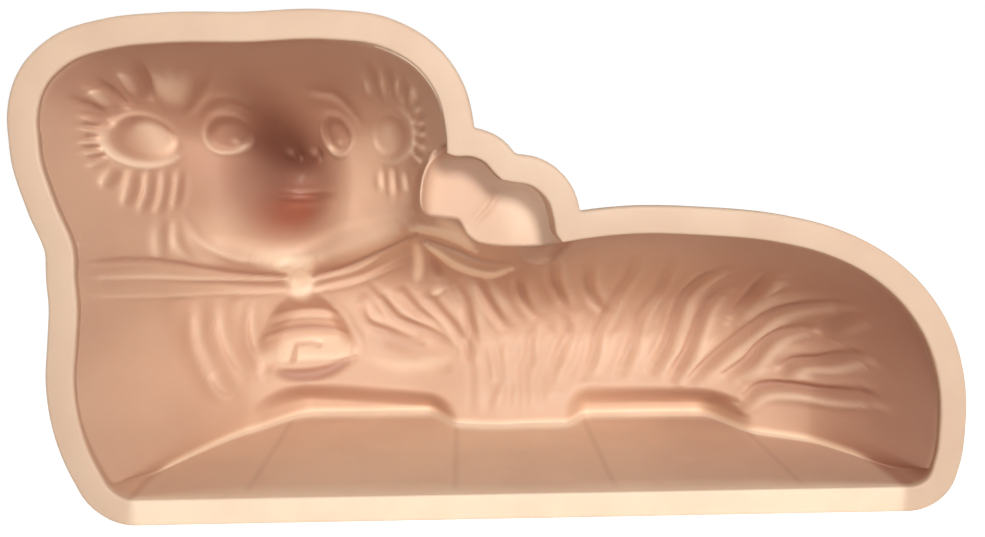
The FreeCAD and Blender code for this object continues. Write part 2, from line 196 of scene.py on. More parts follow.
print("deepest dome", max(shape[-1] for shape in DOME_SHARES.values()), "mm")

# %% [markdown]
# Near the mouth the wall of the hollow runs back at a fixed slope from the outline, as it would to let the
# cake out. For that, every place needs its distance to the outline.

# %% distance to the mouth
EDGE = 3.0
EDGE_SLOPE = 2.8
CORNER = 5.0
edge_run = np.roll(mouth, -1, axis=0) - np.roll(mouth, 1, axis=0)
edge_reach = np.linalg.norm(edge_run, axis=1) / 2
edge_run /= 2 * edge_reach[:, None]
above = np.flatnonzero(mouth[:, 1] > FLOOR + CORNER)[::2]
edge_line, edge_run, edge_reach = mouth[above], edge_run[above], edge_reach[above]


def from_edge(x, z):
    """how far inside the mouth outline a place is, not counting the base; less than zero outside"""
    place = np.c_[np.ravel(x), np.ravel(z)]
    found = []
    for part in np.array_split(place, len(place) // 4000 + 1):
        away = part[:, None] - edge_line
        near = np.argmin(np.hypot(away[..., 0], away[..., 1]), axis=1)
        away = away[np.arange(len(part)), near]
        run, reach = edge_run[near], edge_reach[near]
        across = away[:, 1] * run[:, 0] - away[:, 0] * run[:, 1]
        along = np.abs(np.sum(away * run, axis=1))
        found.append(np.copysign(np.hypot(across, np.maximum(along - reach, 0)), across))
    return np.concatenate(found).reshape(np.shape(x))


print("middle of the head is", round(float(from_edge(-82.0, 110.0)), 1), "mm from the edge")

# %% [markdown]
# Now the parts join: trunk and chest, the tuck under the belly, two folded legs with level tops, the bell,
# the pocket for the bow and the head with its muzzle. Smooth joins are used because a hand-carved master
# has no sharp inner corners.

# %% depth of the hollow
def depth_at(x, z):
    """how far behind the rim the hollow lies, before any marks"""
    x = np.asarray(x, float)
    z = np.maximum(np.asarray(z, float), FLOOR)
    a, u = x / HALF_LENGTH, (z - FLOOR) / MOUTH_HEIGHT
    lift = ease((NECK_SHARES[0] - a) / NECK_SHARES[1]) * NECK_LIFT / MOUTH_HEIGHT
    t = smooth_max(dome(a, u, "back"), dome(a, u - lift, "chest"), 12)
    beside = np.abs((a - TUCK_SHARES[0]) / TUCK_SHARES[1])
    t = t - TUCK_DEPTH * (1 - np.minimum(beside, 1) ** 4) * (1 - ease((z - FLOOR) / TUCK_HEIGHT))
    for (start, end), tops, reaches, depth in LEG_SHARES.values():
        along = (a - start) / (end - start)
        beyond = np.where(along < 0, -along / reaches[0], (along - 1) / reaches[1])
        top = tops[0] + (tops[1] - tops[0]) * np.clip(along, 0, 1)
        away = np.hypot(
            np.maximum(beyond * (end - start) * HALF_LENGTH, 0), np.maximum(z - FLOOR - top, 0) / LEG_ROUNDING)
        t = t + np.maximum(depth - t, 0) * (1 - ease(away))
    c, r = BELL_SHARES
    rise = (u - c[1]) / np.where(u > c[1], r[1], r[2])
    flare = np.where(rise > 0, 1 - 0.5 * np.clip(rise, 0, 1), 1)
    beside = np.abs(a - c[0]) / (r[0] * flare)
    reach = (beside ** 4 + np.maximum(rise, 0) ** 4) ** 0.25
    t = t + BELL_DEPTH * ease(2.0 - 2.0 * reach) * ease(1 + np.minimum(rise, 0))
    c, r = SADDLE_SHARES
    t = t - SADDLE_CUT * ease(3.0 - 3.0 * np.hypot(((a - c[0]) / r[0]) ** 2, ((u - c[1]) / r[1]) ** 2) ** 0.5)
    bow = dome(a, u, "bow")
    h = smooth_max(dome(a, u, "head"), dome(a, u, "muzzle"), 16)
    c, r = LEAF_SHARES
    h = h - LEAF_CUT * ease(3.0 - 3.0 * np.hypot((a - c[0]) / r[0], (u - c[1]) / r[1]))
    bodies = smooth_max(smooth_max(t, h, BODY_JOIN), bow, 3)
    side = np.maximum(EDGE + EDGE_SLOPE * from_edge(x, z), 2.6 * bow)
    return -smooth_max(-bodies, -side, BODY_JOIN)


for name, x, z in (("belly", 10.0, 60.0), ("muzzle", -82.0, 109.0)):
    print("depth at the", name, round(float(depth_at(x, z)), 1), "mm")

# %% [markdown]
# The main marks are pressed in on top: folds of the breast, the ribbon, a loose tail of it, and round
# dishes for ears, eyes and knot. The wool is only hinted at by faint wavy furrows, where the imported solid
# has broad deep ones, because its strands are drawn one by one further on.

# %% main marks
MARK_SHARES = {
    "wool": [
        ((-0.17, 0.44), (-0.13, 0.36), (-0.07, 0.25), (-0.04, 0.11)),
        ((-0.06, 0.44), (-0.05, 0.36), (0.01, 0.26), (0.01, 0.11)),
        ((0.04, 0.47), (0.06, 0.36), (0.06, 0.23), (0.03, 0.11)),
        ((0.14, 0.49), (0.11, 0.37), (0.14, 0.25), (0.06, 0.11)),
        ((0.23, 0.49), (0.25, 0.36), (0.21, 0.23), (0.12, 0.11)),
        ((0.35, 0.51), (0.30, 0.37), (0.28, 0.24), (0.19, 0.11)),
        ((0.45, 0.51), (0.38, 0.37), (0.36, 0.25), (0.27, 0.13)),
        ((0.55, 0.49), (0.50, 0.36), (0.45, 0.25), (0.38, 0.15)),
        ((0.61, 0.46), (0.56, 0.36), (0.53, 0.26), (0.47, 0.16)),
        ((0.70, 0.44), (0.64, 0.35), (0.59, 0.24), (0.52, 0.16)),
        ((0.80, 0.37), (0.72, 0.31), (0.66, 0.24), (0.59, 0.16)),
        ((0.86, 0.31), (0.77, 0.27), (0.70, 0.20), (0.64, 0.15)),
        ((0.92, 0.25), (0.84, 0.21), (0.74, 0.17), (0.68, 0.13)),
        ((0.92, 0.16), (0.84, 0.14), (0.74, 0.11), (0.67, 0.07)),
    ],
    "fold": [
        ((-0.84, 0.39), (-0.83, 0.29), (-0.79, 0.19)),
        ((-0.74, 0.36), (-0.73, 0.27), (-0.69, 0.18)),
        ((-0.40, 0.34), (-0.35, 0.27), (-0.25, 0.23)),
        ((-0.29, 0.36), (-0.23, 0.29), (-0.16, 0.23)),
        ((-0.33, 0.22), (-0.23, 0.18), (-0.16, 0.15)),
        ((-0.21, 0.34), (-0.14, 0.26), (-0.09, 0.19)),
    ],
    "ribbon": [
        ((-0.97, 0.49), (-0.85, 0.47), (-0.71, 0.42), (-0.57, 0.40), (-0.41, 0.44), (-0.25, 0.53)),
    ],
    "tail": [
        ((-0.21, 0.55), (-0.17, 0.51), (-0.11, 0.48), (-0.04, 0.46), (0.02, 0.47)),
    ],
}
MARKS = {"wool": (4.8, 0.5, 1.0), "fold": (4.0, 1.2, 1.0), "ribbon": (5.0, 1.4, 2.0), "tail": (4.5, -1.6, 1.5)}
WAVE = 1.8
WAVE_LENGTH = 28.0
MARK_FADE = 6
FLOOR_FADE = 3
DISH_SHARES = [
    ((-0.881, 0.805), (0.050, 0.055)),
    ((-0.294, 0.811), (0.068, 0.066)),
    ((-0.725, 0.817), (0.060, 0.052)),
    ((-0.441, 0.815), (0.048, 0.056)),
    ((-0.570, 0.415), (0.033, 0.045)),
]
DISH_FIRMNESS = 2.0
DISH_DEPTH = 1.8


def from_line(x, z, line):
    """how far places are from a run of straight pieces"""
    found = np.full(np.shape(x), 1e9)
    for start, end in zip(line, line[1:]):
        run = end - start
        along = np.clip(((x - start[0]) * run[0] + (z - start[1]) * run[1]) / (run @ run), 0, 1)
        found = np.minimum(found, np.hypot(x - start[0] - along * run[0], z - start[1] - along * run[1]))
    return found


def marks_at(x, z):
    """the main marks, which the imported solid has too: wool, folds, ribbon, tail and dishes"""
    pressed = np.zeros(np.shape(x))
    waved = x + WAVE * np.sin(2 * math.pi * (z + x / 2) / WAVE_LENGTH)
    for kind, lines in MARK_SHARES.items():
        width, relief, firmness = MARKS[kind]
        gaps = [from_line(waved if kind == "wool" else x, z, placed(line)) for line in lines]
        pressed += relief * ease(firmness * (1 - np.min(gaps, axis=0) / width))
    for c, r in DISH_SHARES:
        away = np.hypot((x / HALF_LENGTH - c[0]) / r[0], ((z - FLOOR) / MOUTH_HEIGHT - c[1]) / r[1])
        pressed += DISH_DEPTH * ease(DISH_FIRMNESS * (1 - away))
    return pressed * ease(from_edge(x, z) / MARK_FADE) * ease((z - FLOOR) / FLOOR_FADE)


print("main marks", sum(len(lines) for lines in MARK_SHARES.values()), "and dishes", len(DISH_SHARES))

# %% [markdown]
# The outside of the mould isn't in the photo. It is taken to follow the hollow at the wall's thickness:
# a ball as large as the wall is thick rolls over the hollow, and its far side draws the outside.

# %% outside of the wall
def rolled_depth(x, z):
    """the depth of the outside, one wall away from the hollow"""
    best = np.zeros(np.shape(x))
    for a in (-1.0, -0.7, 0.0, 0.7, 1.0):
        for u in (-1.0, -0.7, 0.0, 0.7, 1.0):
            rest = 1 - a * a - u * u
            if rest >= 0:
                best = np.maximum(best, depth_at(x + a * WALL, z + u * WALL) + WALL * math.sqrt(rest))
    return best


print("outside of the wall at the belly", round(float(rolled_depth(np.array(10.0), np.array(60.0))), 1), "mm")

# %% [markdown]
# Everything finer than the main marks is drawn as strokes on the hollow: a run of places in millimetres, a
# width and a height. A stroke that presses in (+) leaves a groove and one that lifts (-) leaves a ridge.
# Strokes were chosen instead of a sculpted or projected texture because they stay readable, and because they
# end up as real geometry in the mesh, not as bump in a material.

# %% strokes
def flow(points, count=28):
    """evenly timed places on a smooth curve through a few given points"""
    p = np.array(points, float)
    p = np.vstack([2 * p[0] - p[1], p, 2 * p[-1] - p[-2]])
    t = np.linspace(0, len(p) - 3 - 1e-9, count)
    i = t.astype(int)
    f = (t - i)[:, None]
    a, b, c, d = p[i], p[i + 1], p[i + 2], p[i + 3]
    return 0.5 * (2 * b + (c - a) * f + (2 * a - 5 * b + 4 * c - d) * f**2 + (3 * b - a - 3 * c + d) * f**3)


class Relief:
    """strokes, given one by one, that can be read back as one height over the hollow"""

    def __init__(self):
        self.marks = []

    def stroke(self, points, width, height, taper=1.0, firm=2.0):
        """a stroke along a few points, which swells in the middle where it has a taper"""
        line = flow(points)
        share = np.linspace(0, 1, len(line))
        swell = np.clip(4 * share * (1 - share), 0, 1) ** (0.6 * taper) if taper else np.ones(len(line))
        self.marks.append((line, width * (0.55 + 0.45 * swell), height * swell, firm))

    def ring(self, centre, reach, width, height, start=0, end=360, lean=0):
        """a stroke along an ellipse, or along a part of one between two angles in degrees"""
        angle = np.radians(np.linspace(start, end, 40))
        line = np.array(reach) * np.c_[np.cos(angle), np.sin(angle)]
        line = np.array(centre) + line @ ((1, 0), (lean, 1))
        full = abs(end - start) >= 360
        swell = np.ones(40) if full else np.sin(np.pi * np.linspace(0.04, 0.96, 40)) ** 0.5
        self.marks.append((line, np.full(40, width), height * swell, 2.0))

    def press(self, x, z):
        """the height of all strokes together at each place"""
        total = np.zeros(len(x))
        for line, width, height, firm in self.marks:
            room = 2.6 * width.max()
            low, high = line.min(axis=0) - room, line.max(axis=0) + room
            near = np.flatnonzero((x > low[0]) & (x < high[0]) & (z > low[1]) & (z < high[1]))
            if len(near) == 0:
                continue
            gaps = np.hypot(x[near, None] - line[:, 0], z[near, None] - line[:, 1])
            k = np.clip(gaps.argmin(axis=1), 1, len(line) - 2)
            run = line[k + 1] - line[k - 1]
            half = np.linalg.norm(run, axis=1) / 2
            run /= 2 * half[:, None]
            gap_x, gap_z = x[near] - line[k, 0], z[near] - line[k, 1]
            along = gap_x * run[:, 0] + gap_z * run[:, 1]
            across = gap_x * run[:, 1] - gap_z * run[:, 0]
            gap = np.hypot(across, np.maximum(np.abs(along) - half, 0))
            total[near] += height[k] * np.exp(-(gap / width[k]) ** firm)
        return total


# The second set of strokes has no height: where it is positive it paints shade, where it is negative a
# highlight.
LIGHT_AND_SHADE_SPREAD = 1.15
relief = Relief()
light_and_shade = Relief()
rng = np.random.default_rng(7)


def draw(lines, width, height, shade=0.0, taper=1.0, firm=2.0):
    """the same stroke along each line, with painted shade (+) or a painted highlight (-) along it"""
    for line in lines:
        relief.stroke(line, width, height, taper, firm)
        if shade:
            light_and_shade.stroke(line, width * LIGHT_AND_SHADE_SPREAD, shade, taper, firm)


def shifted(lines, x, z):
    """the same lines a little to the side, for the ridge next to a groove"""
    return [np.array(line) + (x, z) for line in lines]


# %% [markdown]
# The wool lies in long strands that sweep from the back down to the belly. Each is a groove that follows
# the photo, with a broad ridge on one side and a narrow one on the other. The strands of the rump are the
# deepest, and the belly has only soft lines. A stroke's width varies a little from strand to strand.

# %% wool
STRANDS = [
    (1.3, [(80.5, 77), (76.5, 71), (73.5, 59.5), (72, 47), (69.5, 38), (63.5, 28.5)]),
    (1.4, [(85.5, 66), (82.5, 54.5), (80.5, 44), (77.5, 36), (71, 26)]),
    (1.3, [(95, 74.5), (96, 63.5), (92.5, 51)]),
    (1.3, [(116.5, 66.5), (110.5, 63), (105, 58), (99.5, 49.5), (93, 41), (85.5, 33), (79, 27)]),
    (1.3, [(114.5, 53.5), (107.5, 48.5), (103.5, 43), (99.5, 35.5), (92.5, 29.5)]),
    (0.6, [(122, 61.5), (119.5, 57), (118, 51)]), (1.3, [(126.5, 47), (120.5, 41.5), (114, 38.5), (109.5, 33)]),
    (1.5, [(130, 32.5), (121, 29), (111.5, 28.5), (103, 26), (96.5, 19)]),
    (0.9, [(46, 82), (49, 70), (46.5, 56), (42, 44), (39.5, 34), (35, 26)]),
    (0.9, [(59.5, 80.5), (64, 64.5), (59, 51.5), (56.5, 39.5), (50.5, 27.5)]),
    (0.9, [(16, 81.5), (21, 68), (29, 53.5)]), (0.9, [(31, 76.5), (36.5, 62.5), (43.5, 53)]),
    (0.9, [(6.5, 69), (9, 60.5), (14, 51.5)]), (0.8, [(-18, 65.5), (-13.5, 56.5), (-12, 47), (-13.5, 33)]),
    (0.9, [(-9, 67.5), (-4, 57), (2, 47)]), (0.5, [(30.5, 46), (24.5, 33.5), (20.5, 22.5)]),
    (0.5, [(15.5, 47), (13, 39), (13.5, 29)]), (0.5, [(-1.5, 40.5), (0, 29), (-3, 19.5)]),
    (0.5, [(68, 74), (68.5, 62), (65.5, 50)]), (0.5, [(24, 62), (27, 50), (30, 41)]),
    (0.5, [(106, 70), (101, 65), (98, 59)]),
]
# each strand: a groove with painted shade, a broad ridge with a painted highlight, and a narrow plain ridge
for depth, line in STRANDS:
    line = np.array(line, float)
    lean = unit(line[-1] - line[0])
    aside = np.array((-lean[1], lean[0]))
    draw([line], rng.uniform(1.6, 2.0), 1.9 * depth, 0.45 * depth)
    draw([line + 3.6 * aside], rng.uniform(2.3, 2.9), -1.5 * depth, -0.35 * depth)
    relief.stroke(line - 3.2 * aside, 2.0, -0.8 * depth)
BELLY_LINES = [
    [(-13, 42), (-12, 28), (-12.5, 14)], [(-5, 38), (-4.5, 26), (-5, 13)], [(3, 36), (3.5, 24), (3, 14)],
    [(11, 36), (10.5, 25), (9.5, 13)], [(20, 35), (18, 25), (16.5, 16)],
]
# soft belly lines with faint painted shade, and ridges beside them with a faint painted highlight
draw(BELLY_LINES, 1.8, 0.45, 0.1)
draw(shifted(BELLY_LINES, 3.6, 0), 2.2, -0.5, -0.15)
print("wool strokes", len(relief.marks))

# %% [markdown]
# The breast has shorter folds. On the left they hang almost upright beside the bell, on the right they
# sweep down and back towards the belly. The cheek above has a fluff of thin ridges.

# %% breast folds
UPRIGHT_FOLDS = [
    [(-116, 62.5), (-116.5, 46), (-112, 30), (-108, 24)], [(-110.5, 60.5), (-110, 45.5), (-104.5, 29.5)],
    [(-101, 58), (-101.5, 43.5), (-97.5, 28)],
]
SWEPT_FOLDS = [
    [(-58.5, 55.5), (-55.5, 47.5), (-46.5, 43), (-33, 37.5)], [(-49.5, 58), (-44, 50), (-30.5, 44), (-18, 36)],
]
SOFT_FOLDS = [
    [(-55, 63), (-50, 57), (-41, 51)], [(-41, 61), (-35, 53), (-28, 48), (-22, 43)],
    [(-30, 60), (-24, 52), (-18, 45), (-14, 38)], [(-21, 64), (-15, 53), (-11, 45), (-9, 37)],
]
# grooves with painted shade, ridges beside them with a painted highlight
draw(UPRIGHT_FOLDS, 1.5, 1.2, 0.25)
draw(shifted(UPRIGHT_FOLDS, 3.0, 0.5), 1.7, -1.1, -0.3)
draw(SWEPT_FOLDS, 1.7, 1.7, 0.3)
draw(shifted(SWEPT_FOLDS, 2.4, 2.4), 2.1, -1.5, -0.3)
draw(SOFT_FOLDS, 1.9, 0.8, 0.1)
draw(shifted(SOFT_FOLDS, 2.4, 2.0), 2.1, -0.7)
# broad painted shade and painted highlights over the swept folds and beside the knot
light_and_shade.stroke([(-57, 43), (-47, 38), (-36, 34)], 3.6, 0.45)
light_and_shade.stroke([(-56, 33), (-42, 30), (-28, 31), (-18, 34)], 3.4, -0.55)
light_and_shade.stroke([(-74, 62), (-70, 56), (-64, 49)], 3.2, -0.6)
CHEEK_FLUFF = [
    [(-121, 95), (-120.5, 87), (-120.5, 81)], [(-117.5, 95), (-116.5, 86), (-114, 79)],
    [(-116, 96), (-110.5, 86), (-102, 79.5), (-94.5, 77)],
]
# fluff ridges with a painted highlight, grooves with painted shade
draw(CHEEK_FLUFF, 1.3, -0.8, -0.4)
draw([[(-119, 94), (-118.5, 84)], [(-117, 92), (-114, 84.5), (-109, 79)]], 1.1, 0.6, 0.2)
print("strokes with the breast", len(relief.marks))

# %% [markdown]
# The lamb's face is small and sits deep, so its parts are shallow: a dish and a lid for each eye, two
# nostrils and a mouth. A lid is only the upper arc of a larger ring round the eye.

# %% face
EYE_LEAN = 0.38
EYES = [((-102.0, 125.4), (7.6, 6.5), EYE_LEAN), ((-62.3, 125.0), (5.8, 7.0), 0)]
for centre, reach, lean in EYES:
    width, height = reach
    relief.ring(centre, reach, 1.0, -0.9, lean=lean)
    relief.ring(centre, (width - 2.2, height - 2.0), 0.9, 0.6, 60, 300, lean)
    # each eye: a painted highlight round its lower side and under its middle, painted shade in the top of its
    # dish
    light_and_shade.ring(centre, (width + 0.2, height + 0.2), 1.1, -0.5, 150, 345, lean)
    light_and_shade.ring(centre, (width - 2.4, height - 2.4), 1.3, 0.5, 40, 190, lean)
    light_and_shade.stroke([(centre[0] - 1, centre[1] - 2.6), (centre[0] + 2.4, centre[1] - 2.2)], 1.8, -0.45)
relief.ring((-100.5, 126.6), (10.2, 9.0), 1.1, 0.6, 50, 150, EYE_LEAN)
relief.ring((-100.5, 126.6), (11.8, 10.6), 1.2, -0.6, 50, 150, EYE_LEAN)
# lid, nostrils and mouth: grooves with painted shade, bumps and ridges with a painted highlight
draw([[(-66, 139.6), (-59, 138.8), (-55, 135.2), (-52, 129.5)]], 1.2, 0.9, 0.7, taper=0.5)
draw([[(-68, 137.4), (-60.5, 136.2), (-57, 132.6)]], 1.3, -0.4, taper=0.5)
for x in (-84.0, -74.7):
    draw([[(x - 0.5, 118.6), (x + 0.5, 118.4)]], 1.7, -1.2, -0.25, taper=0)
    draw([[(x + 2.4, 121.0), (x + 3.0, 118.4), (x + 2.4, 116.2)]], 0.9, 2.0, 1.0)
draw([[(-94, 101.8), (-83.5, 100.6), (-76, 100.8), (-65, 102.2)]], 0.9, 1.5, 0.7)
draw([[(-90, 104.2), (-81.5, 103.2), (-70, 104.0)]], 1.1, -0.7, -0.3)
draw([[(-88, 98.4), (-80, 97.8), (-71, 98.6)]], 1.3, -0.5, -0.15)
print("strokes with the face", len(relief.marks))

# %% [markdown]
# The ears are almond and round dishes with a thick edge, ringed by tufts. Short strokes alternate between ridge
# and groove, and each one is placed one by one, because tufts at even angles look like a cog.

# %% ears
LEFT_EAR = (-124.2, 123.6)
RIGHT_EAR = (-41.2, 124.6)
relief.ring(LEFT_EAR, (6.3, 7.4), 1.1, -0.7)
relief.ring(LEFT_EAR, (7.9, 9.4), 1.4, -1.4, 170, 320)
# painted highlight along the ear's outer ring and in its middle, painted shade just inside the ring
light_and_shade.ring(LEFT_EAR, (8.0, 9.4), 1.4, -0.9, 175, 315)
light_and_shade.ring(LEFT_EAR, (5.2, 6.4), 1.0, 0.35, 100, 250)
light_and_shade.stroke([(-124, 127), (-122.5, 121)], 4.0, -0.6, taper=0)
relief.ring(RIGHT_EAR, (6.8, 7.0), 1.1, -0.7)
relief.ring(RIGHT_EAR, (9.4, 9.6), 1.3, -1.0, -100, 60)
# painted highlight along the ear's outer ring and in its middle, painted shade just inside the ring
light_and_shade.ring(RIGHT_EAR, (9.2, 9.6), 1.4, -0.55, -110, 60)
light_and_shade.ring(RIGHT_EAR, (6.9, 7.1), 0.8, 0.35, -80, 80)
light_and_shade.stroke([(-41.5, 126), (-41, 122)], 4.5, -0.5, taper=0)
LEFT_HANGING = [
    [(-127.6, 112), (-127.5, 106), (-127.8, 101.5)], [(-124.6, 112), (-124.3, 105), (-124.7, 99)],
    [(-121.4, 112), (-121.2, 104.5), (-121.5, 98)], [(-118.2, 112), (-118.4, 105), (-118.6, 99.5)],
    [(-131.0, 113), (-131.7, 107.5)],
]
LEFT_ASIDE = [
    [(-132.4, 128), (-135, 129.4)], [(-132.8, 125), (-135.6, 125.6)], [(-133, 122), (-135.8, 121)],
    [(-132.8, 119), (-135.4, 117.6)], [(-132.4, 116.6), (-134.4, 113.6)],
]
RIGHT_HANGING = [
    [(-46.6, 112), (-46, 104.6)], [(-42, 113), (-41.5, 102.6)], [(-37, 111.6), (-36.4, 104.6)],
]
RIGHT_ASIDE = [
    [(-30.8, 127), (-27.6, 127.8)], [(-30.6, 124), (-27.4, 124)], [(-31, 120.6), (-27.6, 119.6)],
    [(-32, 117.2), (-28.6, 114.8)], [(-31.8, 130.6), (-28.8, 132.6)],
]
# tufts round the ears: ridges with a painted highlight, grooves with painted shade
draw(LEFT_HANGING, 1.1, -1.0, -0.35)
draw(shifted(LEFT_HANGING, 1.6, -0.5), 1.0, 0.6, 0.25)
draw(LEFT_ASIDE, 1.0, -0.6, -0.3)
draw(shifted(LEFT_ASIDE, 0.2, 1.6), 0.8, 0.5, 0.3)
draw(RIGHT_HANGING, 1.5, -0.7, -0.1)
draw(shifted(RIGHT_HANGING, 2.4, 0.5), 1.1, 0.7, 0.2)
draw(RIGHT_ASIDE, 1.1, -0.9, -0.35)
draw(shifted(RIGHT_ASIDE, 0.3, 1.7), 0.8, 0.7, 0.25)
print("strokes with the ears", len(relief.marks))

# %% [markdown]
# Above each ear stand tufts like small lobes. Grooves with painted shade part them, and ridges with a painted
# highlight are their crowns.
# The broad ones on the left run on over the brow.

# %% tufts above the ears
LEFT_GROOVES = [
    [(-131.3, 128.6), (-132.5, 132), (-134.5, 134.6)], [(-126.6, 134), (-127, 137.5), (-127.4, 140)],
    [(-119.4, 137), (-116.5, 142), (-114.3, 146)],
]
LEFT_CROWNS = [
    [(-129.4, 132.6), (-130, 135.5), (-131, 137.4)], [(-122.7, 136.4), (-121.5, 140), (-121.3, 143)],
]
LEFT_BROAD = [
    [(-116.6, 134.6), (-114, 139.5), (-112, 144)], [(-113.2, 134), (-107.4, 139), (-102.6, 143)],
    [(-115, 134.6), (-111, 139.5), (-107, 144)],
]
RIGHT_GROOVES = [
    [(-43.4, 137), (-44, 141.5), (-44.8, 145.5)], [(-38.4, 137), (-38.5, 142), (-39, 145)],
    [(-33.8, 135.5), (-34, 140.5)],
]
RIGHT_CROWNS = [
    [(-46.2, 137), (-47.2, 142)], [(-41, 136.6), (-41.4, 142.4)], [(-36, 136), (-36.2, 141.4)],
    [(-31.4, 133), (-31.4, 138.6)],
]
# grooves with painted shade, crowns with a painted highlight
draw(LEFT_GROOVES, 1.2, 1.5, 0.6, taper=0.5)
draw(LEFT_CROWNS, 1.7, -1.3, -0.5)
draw(LEFT_BROAD, 2.2, -0.8, -0.4)
draw([[(-112, 132.2), (-103.4, 138.5), (-97, 143)]], 1.2, 1.0, 0.35)
draw(RIGHT_GROOVES, 1.3, 1.2, 0.4, taper=0.5)
draw(RIGHT_CROWNS, 1.6, -1.0, -0.4)
print("strokes with the tufts", len(relief.marks))

# %% [markdown]
# A ribbon goes round the neck to a knot above the bell, and on to the bow. Its upper edge is one crisp groove
# with painted shade. Below the bow hang a leaf and a tail, each a lifted band with a painted highlight and a
# fold over it with painted shade.

# %% ribbon and tails
BAND_LINES = [
    ([(-137, 85), (-129, 83.6), (-122, 81.5), (-110.5, 76), (-97, 71.8), (-86, 70)], 0.8, 1.2, 0.6),
    ([(-76, 68.8), (-68, 71), (-59, 74.6), (-44, 82.2), (-32, 89)], 0.8, 2.2, 0.8),
    ([(-133, 79.6), (-122.5, 76.2), (-111, 72), (-95, 69.2), (-86, 68.4)], 0.9, -0.6, -0.6),
    ([(-77, 66.8), (-61, 70.6), (-50, 76.4)], 0.9, -0.6, -0.6),
    ([(-133, 77), (-116, 71), (-98, 66.8), (-88, 65.6)], 0.7, 0.4, 0.2),
    ([(-76.5, 64.2), (-64, 66.2), (-54, 69.8), (-40, 77)], 0.7, 0.4, 0.2),
    ([(-133, 74), (-116.5, 67.6), (-98, 64), (-88, 63.4)], 0.9, -0.5, -0.4),
    ([(-76, 62), (-63, 64), (-52, 68), (-40, 74)], 0.9, -0.5, -0.4),
]
# band lines: grooves with painted shade, ridges with a painted highlight
for line, width, height, shade in BAND_LINES:
    draw([line], width, height, shade, taper=0.5)
# the knot, a small ridge beside it and the lift under the chin get a painted highlight
draw([[(-81.0, 71.4), (-81.4, 61.5)]], 4.3, -1.7, -1.1, taper=0.3, firm=2.5)
draw([[(-86.5, 74.6), (-84, 75.6)]], 1.5, -0.9, -0.6, taper=0)
relief.stroke([(-75, 75), (-62, 79), (-48, 85), (-37, 92)], 4.5, -2.4)
light_and_shade.stroke([(-77, 76), (-60, 80.5), (-46, 87), (-36, 94)], 7.0, -0.5)
# leaf and tail: ridges with a painted highlight, folds with painted shade
draw([[(-33, 91), (-29, 91.4), (-22.5, 89.8), (-15.5, 86), (-10.5, 81.6)]], 2.0, -1.8, -1.3, taper=0.6)
draw([[(-30, 88), (-26.5, 85.4), (-18.5, 81.6), (-8.5, 77.4), (3, 77.6)]], 1.3, 1.6, 0.5, taper=0.6)
draw([[(-29, 84), (-26, 80.5), (-19, 74.5), (-10.5, 71), (-3, 71), (3, 75.5)]], 1.6, -1.9, -1.4, taper=0.6)
draw([[(-28.4, 79), (-26, 72), (-25, 66)]], 2.6, 1.6, 0.7)
draw([[(-29, 59.5), (-23, 62.5)]], 1.5, -1.3, -0.8)
draw([[(-33, 86), (-33, 74), (-35, 64)]], 2.4, -0.8, -0.9)
print("strokes with the ribbon", len(relief.marks))

# %% [markdown]
# The bow itself is a shallow pocket, so it only gets the crease between its two loops and a slight painted
# shade under the rim of each. The bell hangs from the knot: a dome with two hoops, a lifted lip with a painted
# highlight and a small window, and an underside with painted shade.

# %% bow and bell
# the crease between the loops with painted shade, and painted shade under the rim of the rear loop
draw([[(-3, 108), (-5.5, 102), (-11.5, 95)]], 0.8, -0.8, 0.25)
draw([[(-4.6, 108), (-7.1, 102), (-13.1, 95)]], 1.1, 0.5)
light_and_shade.stroke([(-1, 107.6), (6, 107.2), (11.4, 101.5)], 1.8, 0.4, taper=0.4)
# the bell: grooves with painted shade on the dome's top, the hoops, the window and under the lip; ridges with a
# painted highlight on a hoop and the lip
draw([[(-92, 53), (-88.5, 57.5)], [(-77, 58), (-71, 52)]], 2.4, 0.5, 0.4)
draw([[(-92, 50.2), (-80.5, 50.6), (-69, 48.6)]], 1.2, -1.0, -0.4, taper=0.5)
draw([[(-92, 53.4), (-80.5, 53.8), (-69, 51.6)]], 1.2, 0.6, 0.3, taper=0.5)
draw([[(-95, 44.6), (-81.5, 45.2), (-65, 42.4)]], 1.3, 1.5, 0.7, taper=0.5)
draw([[(-93, 36.2), (-86, 37.4), (-77, 37.4), (-68, 36.4), (-62, 35.6)]], 3.8, -1.7, -1.1, taper=0.7, firm=3)
draw([[(-85.5, 34.2), (-85.3, 38.4), (-84.6, 39.0), (-80, 39.0), (-76, 38)]], 0.9, 1.5, 1.0, taper=0)
draw([[(-93, 31), (-86, 28.2), (-78, 27.4), (-70, 29), (-61, 33)]], 2.4, 2.2, 1.5)
draw([[(-72, 61), (-65.6, 53), (-60, 44), (-57, 37)]], 1.4, 0.5, 0.4, taper=0.5)
# painted highlights under the chin and on the leaf
light_and_shade.stroke([(-97, 80), (-88, 76.5), (-80, 75.5), (-72, 77)], 4.5, -0.9)
light_and_shade.stroke([(-25, 97), (-18, 92.5), (-12.5, 86)], 3.0, -0.8)
print("strokes in all", len(relief.marks), "with tint", len(light_and_shade.marks))

# %% [markdown]
# The rim is a flat band round the mouth. Its rows of vertices stand off the mouth outline by a distance
# each. Where the outline has a notch, offset rows cross themselves, so the crossed bits are dropped and
# the row is drawn straight over the gap.

